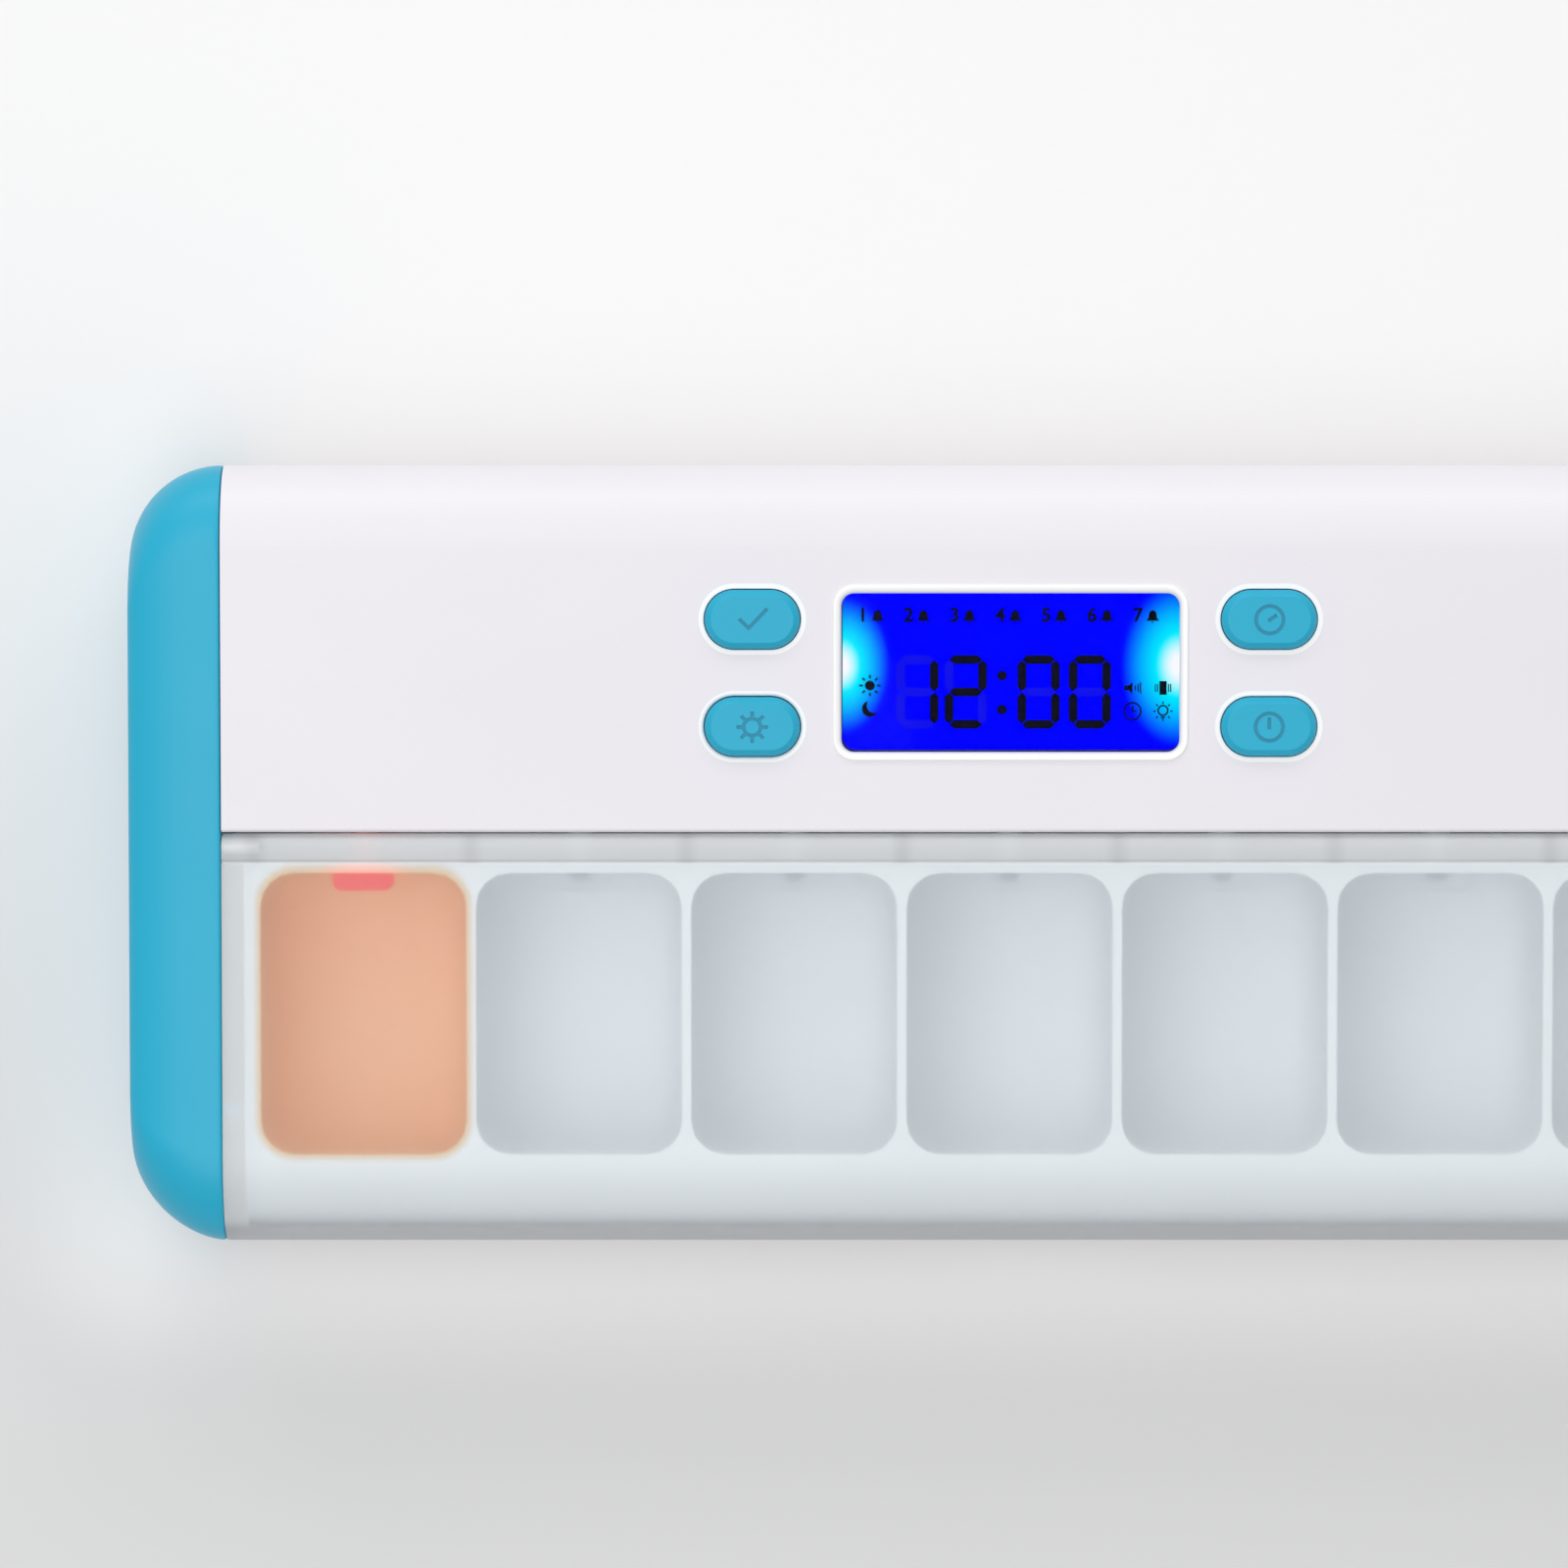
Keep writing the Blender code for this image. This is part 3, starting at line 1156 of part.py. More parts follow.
def build_contacts(mat):
    """Sheet-metal contacts: a lead at each end of the chain and two bridges, with springs and dimples."""
    cans = cell_can_places()
    groups = {
        "battery_contact_negative": (-1, (0,)),
        "battery_contact_left_bridge": (-1, (1, 2)),
        "battery_contact_right_bridge": (1, (0, 1)),
        "battery_contact_positive": (1, (2,)),
    }
    spring_reach = SPRING_ROOM - GAP
    for name, (side, members) in groups.items():
        low = min(cans[m][1] for m in members) - CONTACT_WIDTH / 2
        high = max(cans[m][1] for m in members) + CONTACT_WIDTH / 2
        outline = rectangle(low, high, can_z() - CONTACT_HEIGHT / 2, can_z() + CONTACT_HEIGHT / 2)
        ends = sorted((side * plate_face(), side * (plate_face() + CONTACT_THICKNESS)))
        plate = swept(name, outline, *ends, mat, "X")
        for member in members:
            _, y, nub_side = cans[member]
            if nub_side == side:
                outer = plate_face() + CONTACT_THICKNESS / 2
                ends = sorted((side * (plate_face() - CONTACT_DIMPLE), side * outer))
                weld(plate, f"dimple{member}", circle(CELL_NUB_RADIUS, 12, (y, can_z())), *ends, axis="X")
            else:
                reach = spring_reach - SPRING_WIRE_RADIUS
                boolean(plate, spring_mesh(f"{name}_spring_joined", y, side, reach), "UNION")


def build_battery_door(mat, door_axis):
    """The underside door: two tabs at its hinged end, a sprung latch and a finger notch at the other."""
    origin = door_axis.location
    half_x = BAY_LENGTH / 2 + DOOR_LEDGE - GAP
    half_y = BAY_WIDTH / 2 + DOOR_LEDGE - GAP
    top = FOOT_STAND + DOOR_THICKNESS
    door = swept(
        "battery_door",
        rectangle(-half_x - origin.x, half_x - origin.x, BAY_Y - half_y, BAY_Y + half_y),
        FOOT_STAND - origin.z,
        top - origin.z,
        mat,
        parent=door_axis,
    )
    inner = BAY_LENGTH / 2 - GAP
    tab_low = FLOOR_Z + TAB_LIFT
    profile = [
        (-inner, top - DOOR_THICKNESS / 2),
        (-inner + TAB_STEM, top - DOOR_THICKNESS / 2),
        (-inner + TAB_STEM, tab_low + TAB_THICKNESS),
        (-inner - DOOR_LEDGE - TAB_REACH, tab_low + TAB_THICKNESS),
        (-inner - DOOR_LEDGE - TAB_REACH, tab_low),
        (-inner, tab_low),
    ]
    profile = [(x - origin.x, z - origin.z) for x, z in profile]
    for side in (-1, 1):
        y = BAY_Y + side * TAB_Y
        weld(door, f"tab{side}", profile, y - TAB_WIDTH / 2, y + TAB_WIDTH / 2, axis="Y", parent=door_axis)
    latch_x = inner - origin.x
    half_latch = LATCH_WIDTH / 2
    latch = rectangle(latch_x - LATCH_THICKNESS, latch_x, BAY_Y - half_latch, BAY_Y + half_latch)
    leaf = top - origin.z
    weld(door, "latch", latch, leaf - DOOR_THICKNESS / 2, leaf + LATCH_HEIGHT, parent=door_axis)
    notch = circle(NOTCH_RADIUS, 20, (half_x + NOTCH_RADIUS * NOTCH_SHARE - origin.x, BAY_Y))
    under = FOOT_STAND - origin.z
    cut(door, "notch", notch, under - OVERRUN, under + DOOR_THICKNESS / 2, parent=door_axis)


def build_lamp_board(mats):
    half = LAMP_BOARD_LENGTH / 2
    z = lamp_z()
    swept(
        "lamp_board",
        rectangle(-half, half, z - LAMP_BOARD_HEIGHT / 2, z + LAMP_BOARD_HEIGHT / 2),
        LAMP_BOARD_Y,
        LAMP_BOARD_Y + LAMP_BOARD_THICKNESS,
        mats["board"],
        "Y",
    )
    back = LAMP_BOARD_Y - GAP
    for number, x in enumerate(cell_centres()):
        bm = bmesh.new()
        tip = prism(bm, circle(LED_RADIUS, 10), 0.0, LED_LENGTH)[1]
        rim = [e for e in bm.edges if all(v in tip for v in e.verts)]
        bmesh.ops.bevel(bm, geom=rim, offset=LED_DOME, segments=2, profile=0.5, affect="EDGES", material=-1)
        led = link(f"pill_lamp_{number + 1}", bm, mats["led"])
        led.location = (x, back, z)
        led.rotation_euler = (math.pi / 2, 0.0, 0.0)
        rim = circle(LED_FLANGE_RADIUS, 10)
        helper = swept(f"{led.name}_flange_joined", rim, 0.0, LED_FLANGE, parent=led)
        boolean(led, helper, "UNION")


def build_sounder(mat):
    foot = FLOOR_Z + GAP
    place = (BUZZER_X, BUZZER_Y)
    buzzer = swept("buzzer", circle(BUZZER_RADIUS, 24, place), foot, foot + BUZZER_HEIGHT, mat)
    cut(buzzer, "port", circle(BUZZER_HOLE_RADIUS, 12, place), foot - OVERRUN, foot + OVERRUN)


def build_shaker(mats, shaft_axis):
    """A small motor in its cradle, and the half-round weight that hangs from its shaft."""
    z = FLOOR_Z + MOTOR_RISE
    front = MOTOR_X + MOTOR_LENGTH / 2
    motor = swept(
        "vibration_motor",
        circle(MOTOR_RADIUS, 20, (MOTOR_Y, z)),
        front - MOTOR_LENGTH,
        front,
        mats["can"],
        "X",
    )
    cut(
        motor,
        "bore",
        circle(SHAFT_RADIUS + GAP, 10, (MOTOR_Y, z)),
        front - SHAFT_SUNK - GAP,
        front + OVERRUN,
        axis="X",
    )
    half_disc = [(WEIGHT_RADIUS * math.cos(t), WEIGHT_RADIUS * math.sin(t)) for t in half_turns(12)]
    start = GAP * 2
    weight = swept("motor_weight", half_disc, start, start + WEIGHT_LENGTH, mats["weight"], "X", shaft_axis)
    weld(weight, "hub", circle(WEIGHT_HUB, 12), start, start + WEIGHT_LENGTH, axis="X", parent=shaft_axis)
    shaft_end = start + WEIGHT_LENGTH + GAP
    weld(weight, "shaft", circle(SHAFT_RADIUS, 8), -SHAFT_SUNK, shaft_end, axis="X", parent=shaft_axis)


def half_turns(steps):
    return [math.pi + math.pi * step / steps for step in range(steps + 1)]


def bake_solids():
    """Turns each piece and its joins and cuts into one mesh, shades it, and removes the helpers."""
    bpy.context.view_layer.update()
    graph = bpy.context.evaluated_depsgraph_get()
    solids = [obj for obj in bpy.data.objects if obj.type == "MESH" and not obj.hide_render]
    meshes = {}
    for obj in solids:
        if obj.modifiers:
            meshes[obj] = bpy.data.meshes.new_from_object(obj.evaluated_get(graph))
    for obj, mesh in meshes.items():
        obj.modifiers.clear()
        obj.data = mesh
        mesh.name = obj.name
    for obj in list(bpy.data.objects):
        if obj.type == "MESH" and obj.hide_render:
            bpy.data.objects.remove(obj, do_unlink=True)
    for obj in solids:
        obj.data.shade_smooth()
        obj.data.set_sharp_from_angle(angle=math.radians(SHARP_DEGREES))


def add_axis(name, location, slope=0.0):
    axis = bpy.data.objects.new(name, None)
    bpy.context.scene.collection.objects.link(axis)
    axis.location = location
    axis.rotation_euler = (slope, 0.0, 0.0)
    bpy.context.view_layer.update()
    return axis


def main():
    clear_scene()
    white = material("white_plastic", (0.84, 0.83, 0.86), 0.35)
    blue = material("blue_plastic", (0.035, 0.42, 0.62), 0.38)
    frosted = material("frosted_plastic", (0.72, 0.77, 0.79), 0.45, transmission=0.6)
    pale = material("tray_plastic", (0.70, 0.74, 0.76), 0.4)
    steel = material("steel", (0.62, 0.62, 0.63), 0.3, 1.0)
    clear = material("clear_acrylic", (0.9, 0.93, 0.95), 0.05, transmission=1.0)
    blue_glass = material("lcd_glass", (0.0, 0.01, 0.9), 0.1)
    rubber = material("grey_rubber", (0.25, 0.25, 0.26), 0.8)
    green = material("board_green", (0.03, 0.22, 0.10), 0.5)
    black = material("black_plastic", (0.03, 0.03, 0.03), 0.5)
    red = material("red_lamp", (0.75, 0.05, 0.04), 0.15, transmission=0.5)
    battery = material("battery_jacket", (0.16, 0.17, 0.19), 0.35)

    face = add_axis("face", (0.0, FACE_Y, face_z(FACE_Y)), FACE_SLOPE)
    hinge = add_axis("lid_axis", (0.0, *hinge_point()))
    door_axis = add_axis("door_axis", (-BAY_LENGTH / 2 - DOOR_LEDGE + GAP, 0.0, FOOT_STAND))
    shaft_axis = add_axis("shaft_axis", (MOTOR_X + MOTOR_LENGTH / 2, MOTOR_Y, FLOOR_Z + MOTOR_RISE))

    build_top_cover(white, face)
    build_base_shell(white)
    build_end_cap("left_end_cap", -1, blue)
    build_end_cap("right_end_cap", 1, blue)
    build_lid(frosted, hinge)
    build_hinge_pin("hinge_pin_left", -1, steel)
    build_hinge_pin("hinge_pin_right", 1, steel)
    build_pill_tray(pale)
    build_window(clear, face)
    build_display({"glass": blue_glass, "guide": clear, "frame": white, "rubber": rubber, "lamp": pale}, face)
    build_board(green, face)
    for name, (x, y) in key_places().items():
        build_key(name, x, y, {"key": blue, "switch": black, "plunger": rubber}, face)
    build_screws(steel, face)
    build_feet(rubber)
    build_batteries(battery)
    build_contacts(steel)
    build_battery_door(white, door_axis)
    build_lamp_board({"board": green, "led": red})
    build_sounder(black)
    build_shaker({"can": steel, "weight": steel}, shaft_axis)
    bake_solids()


main()
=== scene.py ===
"""A seven-compartment electronic pill box on a pale table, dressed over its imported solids.

Lengths are in metres. +X runs along the case, +Y to the back where the clock is, +Z up.
"""

import logging
import math
from dataclasses import dataclass, field, replace
from enum import Enum
from typing import Any, Callable, Iterable, Mapping, Sequence

import bmesh
import bpy
from mathutils import Matrix, Vector


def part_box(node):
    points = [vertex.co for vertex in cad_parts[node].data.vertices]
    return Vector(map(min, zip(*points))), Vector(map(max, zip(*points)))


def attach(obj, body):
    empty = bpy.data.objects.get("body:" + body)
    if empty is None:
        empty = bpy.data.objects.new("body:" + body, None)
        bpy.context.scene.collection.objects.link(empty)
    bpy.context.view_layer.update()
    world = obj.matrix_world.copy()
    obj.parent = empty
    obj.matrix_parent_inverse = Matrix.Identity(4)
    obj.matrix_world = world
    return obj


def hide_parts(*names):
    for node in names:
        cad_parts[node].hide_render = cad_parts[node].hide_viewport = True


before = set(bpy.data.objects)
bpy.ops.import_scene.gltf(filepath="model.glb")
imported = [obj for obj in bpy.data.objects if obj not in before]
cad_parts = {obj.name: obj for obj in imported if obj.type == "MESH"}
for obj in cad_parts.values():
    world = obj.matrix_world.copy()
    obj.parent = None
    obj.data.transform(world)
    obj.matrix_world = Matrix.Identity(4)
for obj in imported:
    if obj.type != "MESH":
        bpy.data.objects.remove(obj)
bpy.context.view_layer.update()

LOG = logging.getLogger("pill_box")
MM = 0.001
HAIR = 0.001 * MM
Colour = tuple[float, float, float]
Pair = tuple[float, float]
Triple = tuple[float, float, float]
Material = bpy.types.Material
BLACK: Colour = (0.0, 0.0, 0.0)


def shade(red: int, green: int, blue: int) -> Colour:
    """Turns a colour as it shows on a screen, 0 to 255, into the shader's linear values.

    Args:
        red: Red share, 0 to 255.
        green: Green share, 0 to 255.
        blue: Blue share, 0 to 255.

    Returns:
        The linear colour.
    """
    parts = []
    for channel in (red, green, blue):
        level = channel / 255
        parts.append(level / 12.92 if level <= 0.04045 else ((level + 0.055) / 1.055) ** 2.4)
    return (parts[0], parts[1], parts[2])


def scaled(colour: Colour, factor: float) -> Colour:
    """The colour, lighter or darker by a factor."""
    return tuple(min(1.0, part * factor) for part in colour)


def add_object(name: str, data: bpy.types.ID) -> bpy.types.Object:
    """Adds an object to the scene.

    Args:
        name: The object's name.
        data: Its mesh, curve, light or camera.

    Returns:
        The object.
    """
    made = bpy.data.objects.new(name, data)
    bpy.context.scene.collection.objects.link(made)
    return made


class Value:
    """A number that changes over a surface: the output of a shader node, with the usual operators."""

    def __init__(self, graph: "Graph", socket: bpy.types.NodeSocket) -> None:
        """Wraps one output socket of a graph."""
        self.graph = graph
        self.socket = socket

    def _math(self, operation: str, *others: "Value | float") -> "Value":
        """Adds a Math node whose first input is this value."""
        return self.graph.node("ShaderNodeMath", {"operation": operation}, dict(enumerate((self, *others))))

    def __add__(self, other: "Value | float") -> "Value":
        """Sum."""
        return self._math("ADD", other)

    __radd__ = __add__

    def __mul__(self, other: "Value | float") -> "Value":
        """Product."""
        return self._math("MULTIPLY", other)

    __rmul__ = __mul__

    def __sub__(self, other: "Value | float") -> "Value":
        """Difference."""
        return self._math("SUBTRACT", other)

    def __rsub__(self, other: float) -> "Value":
        """Difference, with this value taken away."""
        return self.graph.node("ShaderNodeMath", {"operation": "SUBTRACT"}, {0: other, 1: self})

    def __truediv__(self, other: "Value | float") -> "Value":
        """Quotient."""
        return self._math("DIVIDE", other)

    def __abs__(self) -> "Value":
        """Size without sign."""
        return self._math("ABSOLUTE")

    def __pow__(self, power: float) -> "Value":
        """This value to a power."""
        return self._math("POWER", power)

    def __gt__(self, other: "Value | float") -> "Value":
        """1 where this value is the greater, else 0."""
        return self._math("GREATER_THAN", other)

    def least(self, other: "Value | float") -> "Value":
        """The smaller of two values."""
        return self._math("MINIMUM", other)

    def most(self, other: "Value | float") -> "Value":
        """The larger of two values."""
        return self._math("MAXIMUM", other)

    def fract(self) -> "Value":
        """What is left of this value past its whole number."""
        return self._math("FRACT")

    def ease(self, start: float, stop: float) -> "Value":
        """Rises smoothly from 0 at start to 1 at stop.

        Args:
            start: Value at which the result is 0.
            stop: Value at which the result is 1; it may be below start.

        Returns:
            The eased share.
        """
        rising = start <= stop
        low, high = (start, stop) if rising else (stop, start)
        settings = {"interpolation_type": "SMOOTHSTEP"}
        links = {"Value": self, "From Min": low, "From Max": high}
        eased = self.graph.node("ShaderNodeMapRange", settings, links)
        return eased if rising else 1.0 - eased


class Graph:
    """The node tree of one material or world, built from Python expressions."""

    def __init__(self, owner: bpy.types.Material | bpy.types.World) -> None:
        """Empties the owner's node tree.

        Args:
            owner: The material or world to be written.
        """
        owner.use_nodes = True
        self.owner = owner
        self.tree = owner.node_tree
        self.tree.nodes.clear()

    def node(
        self,
        kind: str,
        settings: Mapping[str, Any] | None = None,
        links: Mapping[int | str, Any] | None = None,
        output: int | str = 0,
    ) -> Value:
        """Adds one node.

        Args:
            kind: Blender's name of the node's type.
            settings: The node's own properties, set first.
            links: Input sockets by name or number, each with a number, a colour or a Value.
            output: The output socket that is returned.

        Returns:
            The wrapped output.
        """
        made = self.tree.nodes.new(kind)
        for key, setting in (settings or {}).items():
            setattr(made, key, setting)
        for key, link in (links or {}).items():
            socket = made.inputs[key]
            if isinstance(link, Value):
                self.tree.links.new(link.socket, socket)
            elif isinstance(link, tuple) and socket.type == "RGBA":
                socket.default_value = (*link, 1.0)
            else:
                socket.default_value = link
        return Value(self, made.outputs[output])

    def point(self) -> Value:
        """The point on the piece, in metres."""
        return self.node("ShaderNodeTexCoord", output="Object")

    def place(self, axis: str) -> Value:
        """The point's coordinate on the axis "X", "Y" or "Z"."""
        return self.node("ShaderNodeSeparateXYZ", links={"Vector": self.point()}, output=axis)

    def noise(self, size: float, detail: float = 2.0, stretch: Triple = (1.0, 1.0, 1.0)) -> Value:
        """Smooth noise from 0 to 1.

        Args:
            size: Rough size of its blotches, in metres.
            detail: How many finer layers it has.
            stretch: Factors on the coordinates, for grain along one axis.

        Returns:
            The noise value.
        """
        point = self.point()
        if stretch != (1.0, 1.0, 1.0):
            point = self.node("ShaderNodeMapping", links={"Vector": point, "Scale": stretch})
        links = {"Vector": point, "Scale": 1 / size, "Detail": detail, "Roughness": 0.55}
        return self.node("ShaderNodeTexNoise", links=links)

    def blend(
        self, share: Value | float, low: Value | Colour, high: Value | Colour
    ) -> Value | Colour:
        """The mix of two colours, from low at a share of 0 to high at 1; two like ones need no node."""
        links = {0: share, 6: low, 7: high}
        return low if low == high else self.node("ShaderNodeMix", {"data_type": "RGBA"}, links, 2)

    def bump(self, height: Value, depth: float, strength: float = 1.0) -> Value:
        """The normal of a relief whose height runs from 0 to 1 and stands for a depth in metres."""
        links = {"Strength": strength, "Distance": depth, "Height": height}
        return self.node("ShaderNodeBump", links=links)

    def ray(self, kind: str) -> Value:
        """1 for rays of one kind, such as Shadow, else 0."""
        return self.node("ShaderNodeLightPath", output=f"Is {kind} Ray")

    def either(self, share: Value | float, first: Value, second: Value) -> Value:
        """The mix of two shaders, the first where the share is 0 and the second where it is 1."""
        return self.node("ShaderNodeMixShader", links={0: share, 1: first, 2: second})

    def principled(self, **sockets: Any) -> Value:
        """A Principled shader with its sockets; underscores in their names stand for spaces."""
        links = {name.replace("_", " "): value for name, value in sockets.items()}
        return self.node("ShaderNodeBsdfPrincipled", links=links)

    def finish(self, surface: Value, kind: str = "Material") -> None:
        """Sends a shader to the output of a Material or a World."""
        made = self.tree.nodes.new(f"ShaderNodeOutput{kind}")
        self.tree.links.new(surface.socket, made.inputs["Surface"])


@dataclass(frozen=True)
class Finish:
    """A finish made from nodes alone; each kind writes its own shader."""

    name: str

    def material(self) -> Material:
        """Builds the material.

        Returns:
            The material.
        """
        graph = Graph(bpy.data.materials.new(self.name))
        graph.finish(self.surface(graph))
        return graph.owner

    def surface(self, graph: Graph) -> Value:
        """The shader that a finish writes into a material's empty node tree."""
        raise NotImplementedError


def outside(across: Value, along: Value, half: Sequence[float], radius: float) -> Value:
    """How far a place lies outside a rectangle with rounded corners, below 0 inside."""
    beside, beyond = (across - (half[0] - radius)).most(0.0), (along - (half[1] - radius)).most(0.0)
    return (beside * beside + beyond * beyond) ** 0.5 - radius


@dataclass(frozen=True)
class PolishedAndHighlightedRim:
    """A band round a rounded opening, smoother and painted lighter as a highlight, the same left and right,
    and above and below a middle.
    """

    centre: Pair
    half: Pair
    radius: float
    width: float
    middle: float
    # The band's lighter colour is a painted highlight.
    colour: Colour = (0.95, 0.95, 0.95)
    fade_shares: Pair = (1.15, 0.85)

    def share(self, graph: Graph) -> Value:
        """Where the band lies.

        Args:
            graph: The material's node tree.

        Returns:
            1 on the band, 0 away from it.
        """
        across = abs(abs(graph.place("X")) - self.centre[0])
        along = abs(abs(graph.place("Y") - self.middle) - self.centre[1])
        reach = outside(across, along, self.half, self.radius)
        return reach.ease(*(self.width * share for share in self.fade_shares))


@dataclass(frozen=True)
class MouldedPlastic(Finish):
    """Injection-moulded plastic: a spark-eroded grain, faint flow marks and slightly worn gloss."""

    colour: Colour
    roughness: float = 0.38
    grain: float = 0.35 * MM
    relief: float = 0.006 * MM
    drift: float = 0.05
    flow_size: float = 34 * MM
    flow_stretch: Triple = (0.5, 1.0, 1.0)
    rub_size: float = 9 * MM
    rims: tuple[PolishedAndHighlightedRim, ...] = ()

    def surface(self, graph: Graph) -> Value:
        """Writes the shader.

        Args:
            graph: The material's node tree.

        Returns:
            The shader.
        """
        flow = graph.noise(self.flow_size, 3.0, self.flow_stretch)
        speck = graph.noise(self.grain, 3.0)
        rub = graph.noise(self.rub_size, 4.0)
        low, high = scaled(self.colour, 1 - self.drift), scaled(self.colour, 1 + self.drift)
        colour = graph.blend(flow * 0.75 + speck * 0.25, low, high)
        roughness = self.roughness - 0.05 + rub * 0.07 + speck * 0.05
        # Each band round an opening is smoother, and its lighter colour is a painted highlight.
        for rim in self.rims:
            share = rim.share(graph)
            colour = graph.blend(share, colour, rim.colour)
            roughness = roughness - share * 0.1
        normal = graph.bump(speck, self.relief)
        return graph.principled(Base_Color=colour, Roughness=roughness, Normal=normal, IOR=1.46)


@dataclass(frozen=True)
class FrostedPlastic(Finish):
    """Milky translucent plastic that blurs what lies below it; light itself mostly passes on."""

    colour: Colour
    roughness: float = 0.62
    milk: float = 0.08
    thick_milk: float = 0.5
    front_milk: float = 0.8
    barrel: Pair = (-1.35 * MM, -0.95 * MM)
    ends: Pair = (94.7 * MM, 95.1 * MM)
    front: Pair = (-45.5 * MM, -48.0 * MM)
    rim: Pair = (-45.4 * MM, -47.6 * MM)
    front_edge_shade_share: float = 0.4
    divider_pitch: float = 26.8 * MM
    divider_shade_half_share: float = 0.07
    divider_shade_share: float = 0.12
    lid_shade_colour: Colour = (0.1, 0.1, 0.11)
    frost_size: float = 0.4 * MM
    frost_relief: float = 0.008 * MM
    cloud_size: float = 22 * MM
    passing: float = 0.94
    passed_tint: Colour = (0.98, 0.99, 0.99)

    def surface(self, graph: Graph) -> Value:
        """Writes the shader.

        Args:
            graph: The material's node tree.

        Returns:
            The shader.
        """
        frost = graph.noise(self.frost_size, 2.0)
        cloud = graph.noise(self.cloud_size, 3.0)
        across, along = graph.place("X"), graph.place("Y")
        barrel, ends = along.ease(*self.barrel), abs(across).ease(*self.ends)
        milk = barrel.most(ends) * (self.thick_milk - self.milk) + self.milk
        milk = milk.most(along.ease(*self.front) * self.front_milk)
        # Painted shade: faint dark marks on the hinge barrel over each compartment divider, blended towards
        # the dark shade colour.
        divider_offset = abs((across / self.divider_pitch).fract() - 0.5)
        divider_shade = divider_offset.ease(self.divider_shade_half_share, 0.0) * barrel * self.divider_shade_share
        # Painted shade: the colour darkens towards the front edge, where the lid curves away from the
        # light.
        rim = along.ease(*self.rim) * self.front_edge_shade_share
        colour = graph.blend(cloud, scaled(self.colour, 0.97), self.colour)
        colour = graph.blend(divider_shade.most(rim), colour, self.lid_shade_colour)
        normal = graph.bump(frost, self.frost_relief)
        clear = graph.principled(
            Base_Color=colour,
            Roughness=self.roughness - 0.05 + frost * 0.1,
            Normal=normal,
            IOR=1.12,
            Transmission_Weight=1.0,
            Specular_IOR_Level=0.4,
        )
        milky = graph.principled(
            Base_Color=colour,
            Roughness=0.42 + frost * 0.1,
            Normal=normal,
            IOR=1.42,
            Specular_IOR_Level=0.45,
        )
        passed = graph.ray("Shadow").most(graph.ray("Diffuse")) * self.passing
        through = graph.node("ShaderNodeBsdfTransparent", links={"Color": self.passed_tint})
        return graph.either(passed, graph.either(milk, clear, milky), through)


@dataclass(frozen=True)
class ClearPlastic(Finish):
    """A clear acrylic window with a few hairline scratches."""

    tint: Colour = (0.98, 0.99, 1.0)
    scratch_size: float = 5 * MM
    scratch_stretch: Triple = (9.0, 0.6, 1.0)
    haze_size: float = 12 * MM
    haze_relief: float = 0.002 * MM
    passing: float = 0.9

    def surface(self, graph: Graph) -> Value:
        """Writes the shader.

        Args:
            graph: The material's node tree.

        Returns:
            The shader.
        """
        hair = graph.noise(self.scratch_size, 6.0, self.scratch_stretch).ease(0.62, 0.75)
        haze = graph.noise(self.haze_size, 3.0)
        shader = graph.principled(
            Base_Color=self.tint,
            Roughness=0.015 + hair * 0.02 + haze * 0.01,
            Normal=graph.bump(haze, self.haze_relief, 0.3),
            IOR=1.08,
            Transmission_Weight=1.0,
            Specular_IOR_Level=0.1,
        )
        through = graph.node("ShaderNodeBsdfTransparent")
        return graph.either(graph.ray("Shadow") * self.passing, shader, through)


@dataclass(frozen=True)
class LitCrystal(Finish):
    """The display's blue glow, brightest and palest beside the two backlight lamps."""

    centre: Pair
    half_width: float
    lamp_rise: float = 1.0 * MM
    blue: Colour = (0.0, 0.0, 1.0)
    near_blue: Colour = (0.0, 0.92, 1.0)
    core: Colour = (1.0, 1.0, 1.0)
    grid_blue: Colour = (0.0, 0.0, 0.7)
    glow_fade: Pair = (6.2 * MM, 1.5 * MM)
    core_fade: Pair = (2.5 * MM, 0.4 * MM)
    spreads: tuple[tuple[int, float], ...] = ((-1, 1.0), (1, 1.18))
    grid_size: float = 0.3 * MM

    def surface(self, graph: Graph) -> Value:
        """Writes the shader.

        Args:
            graph: The material's node tree.

        Returns:
            The shader.
        """
        across, along = graph.place("X"), graph.place("Y")
        rise = along - (self.centre[1] + self.lamp_rise)
        colour: Value | Colour = self.blue
        for side, spread in self.spreads:
            reach = across - (self.centre[0] + side * self.half_width)
            distance = (reach * reach + rise * rise * 0.5) ** 0.5
            near = distance.ease(*(place * spread for place in self.glow_fade))
            middle = distance.ease(*(place * spread for place in self.core_fade))
            colour = graph.blend(middle, graph.blend(near, colour, self.near_blue), self.core)
        grid = graph.noise(self.grid_size, 2.0)
        return graph.principled(
            Base_Color=(0.0, 0.0, 0.02),
            Roughness=0.18 + grid * 0.04,
            Emission_Color=graph.blend(grid * 0.06, colour, self.grid_blue),
            Emission_Strength=1.0,
            Specular_IOR_Level=0.0,
        )


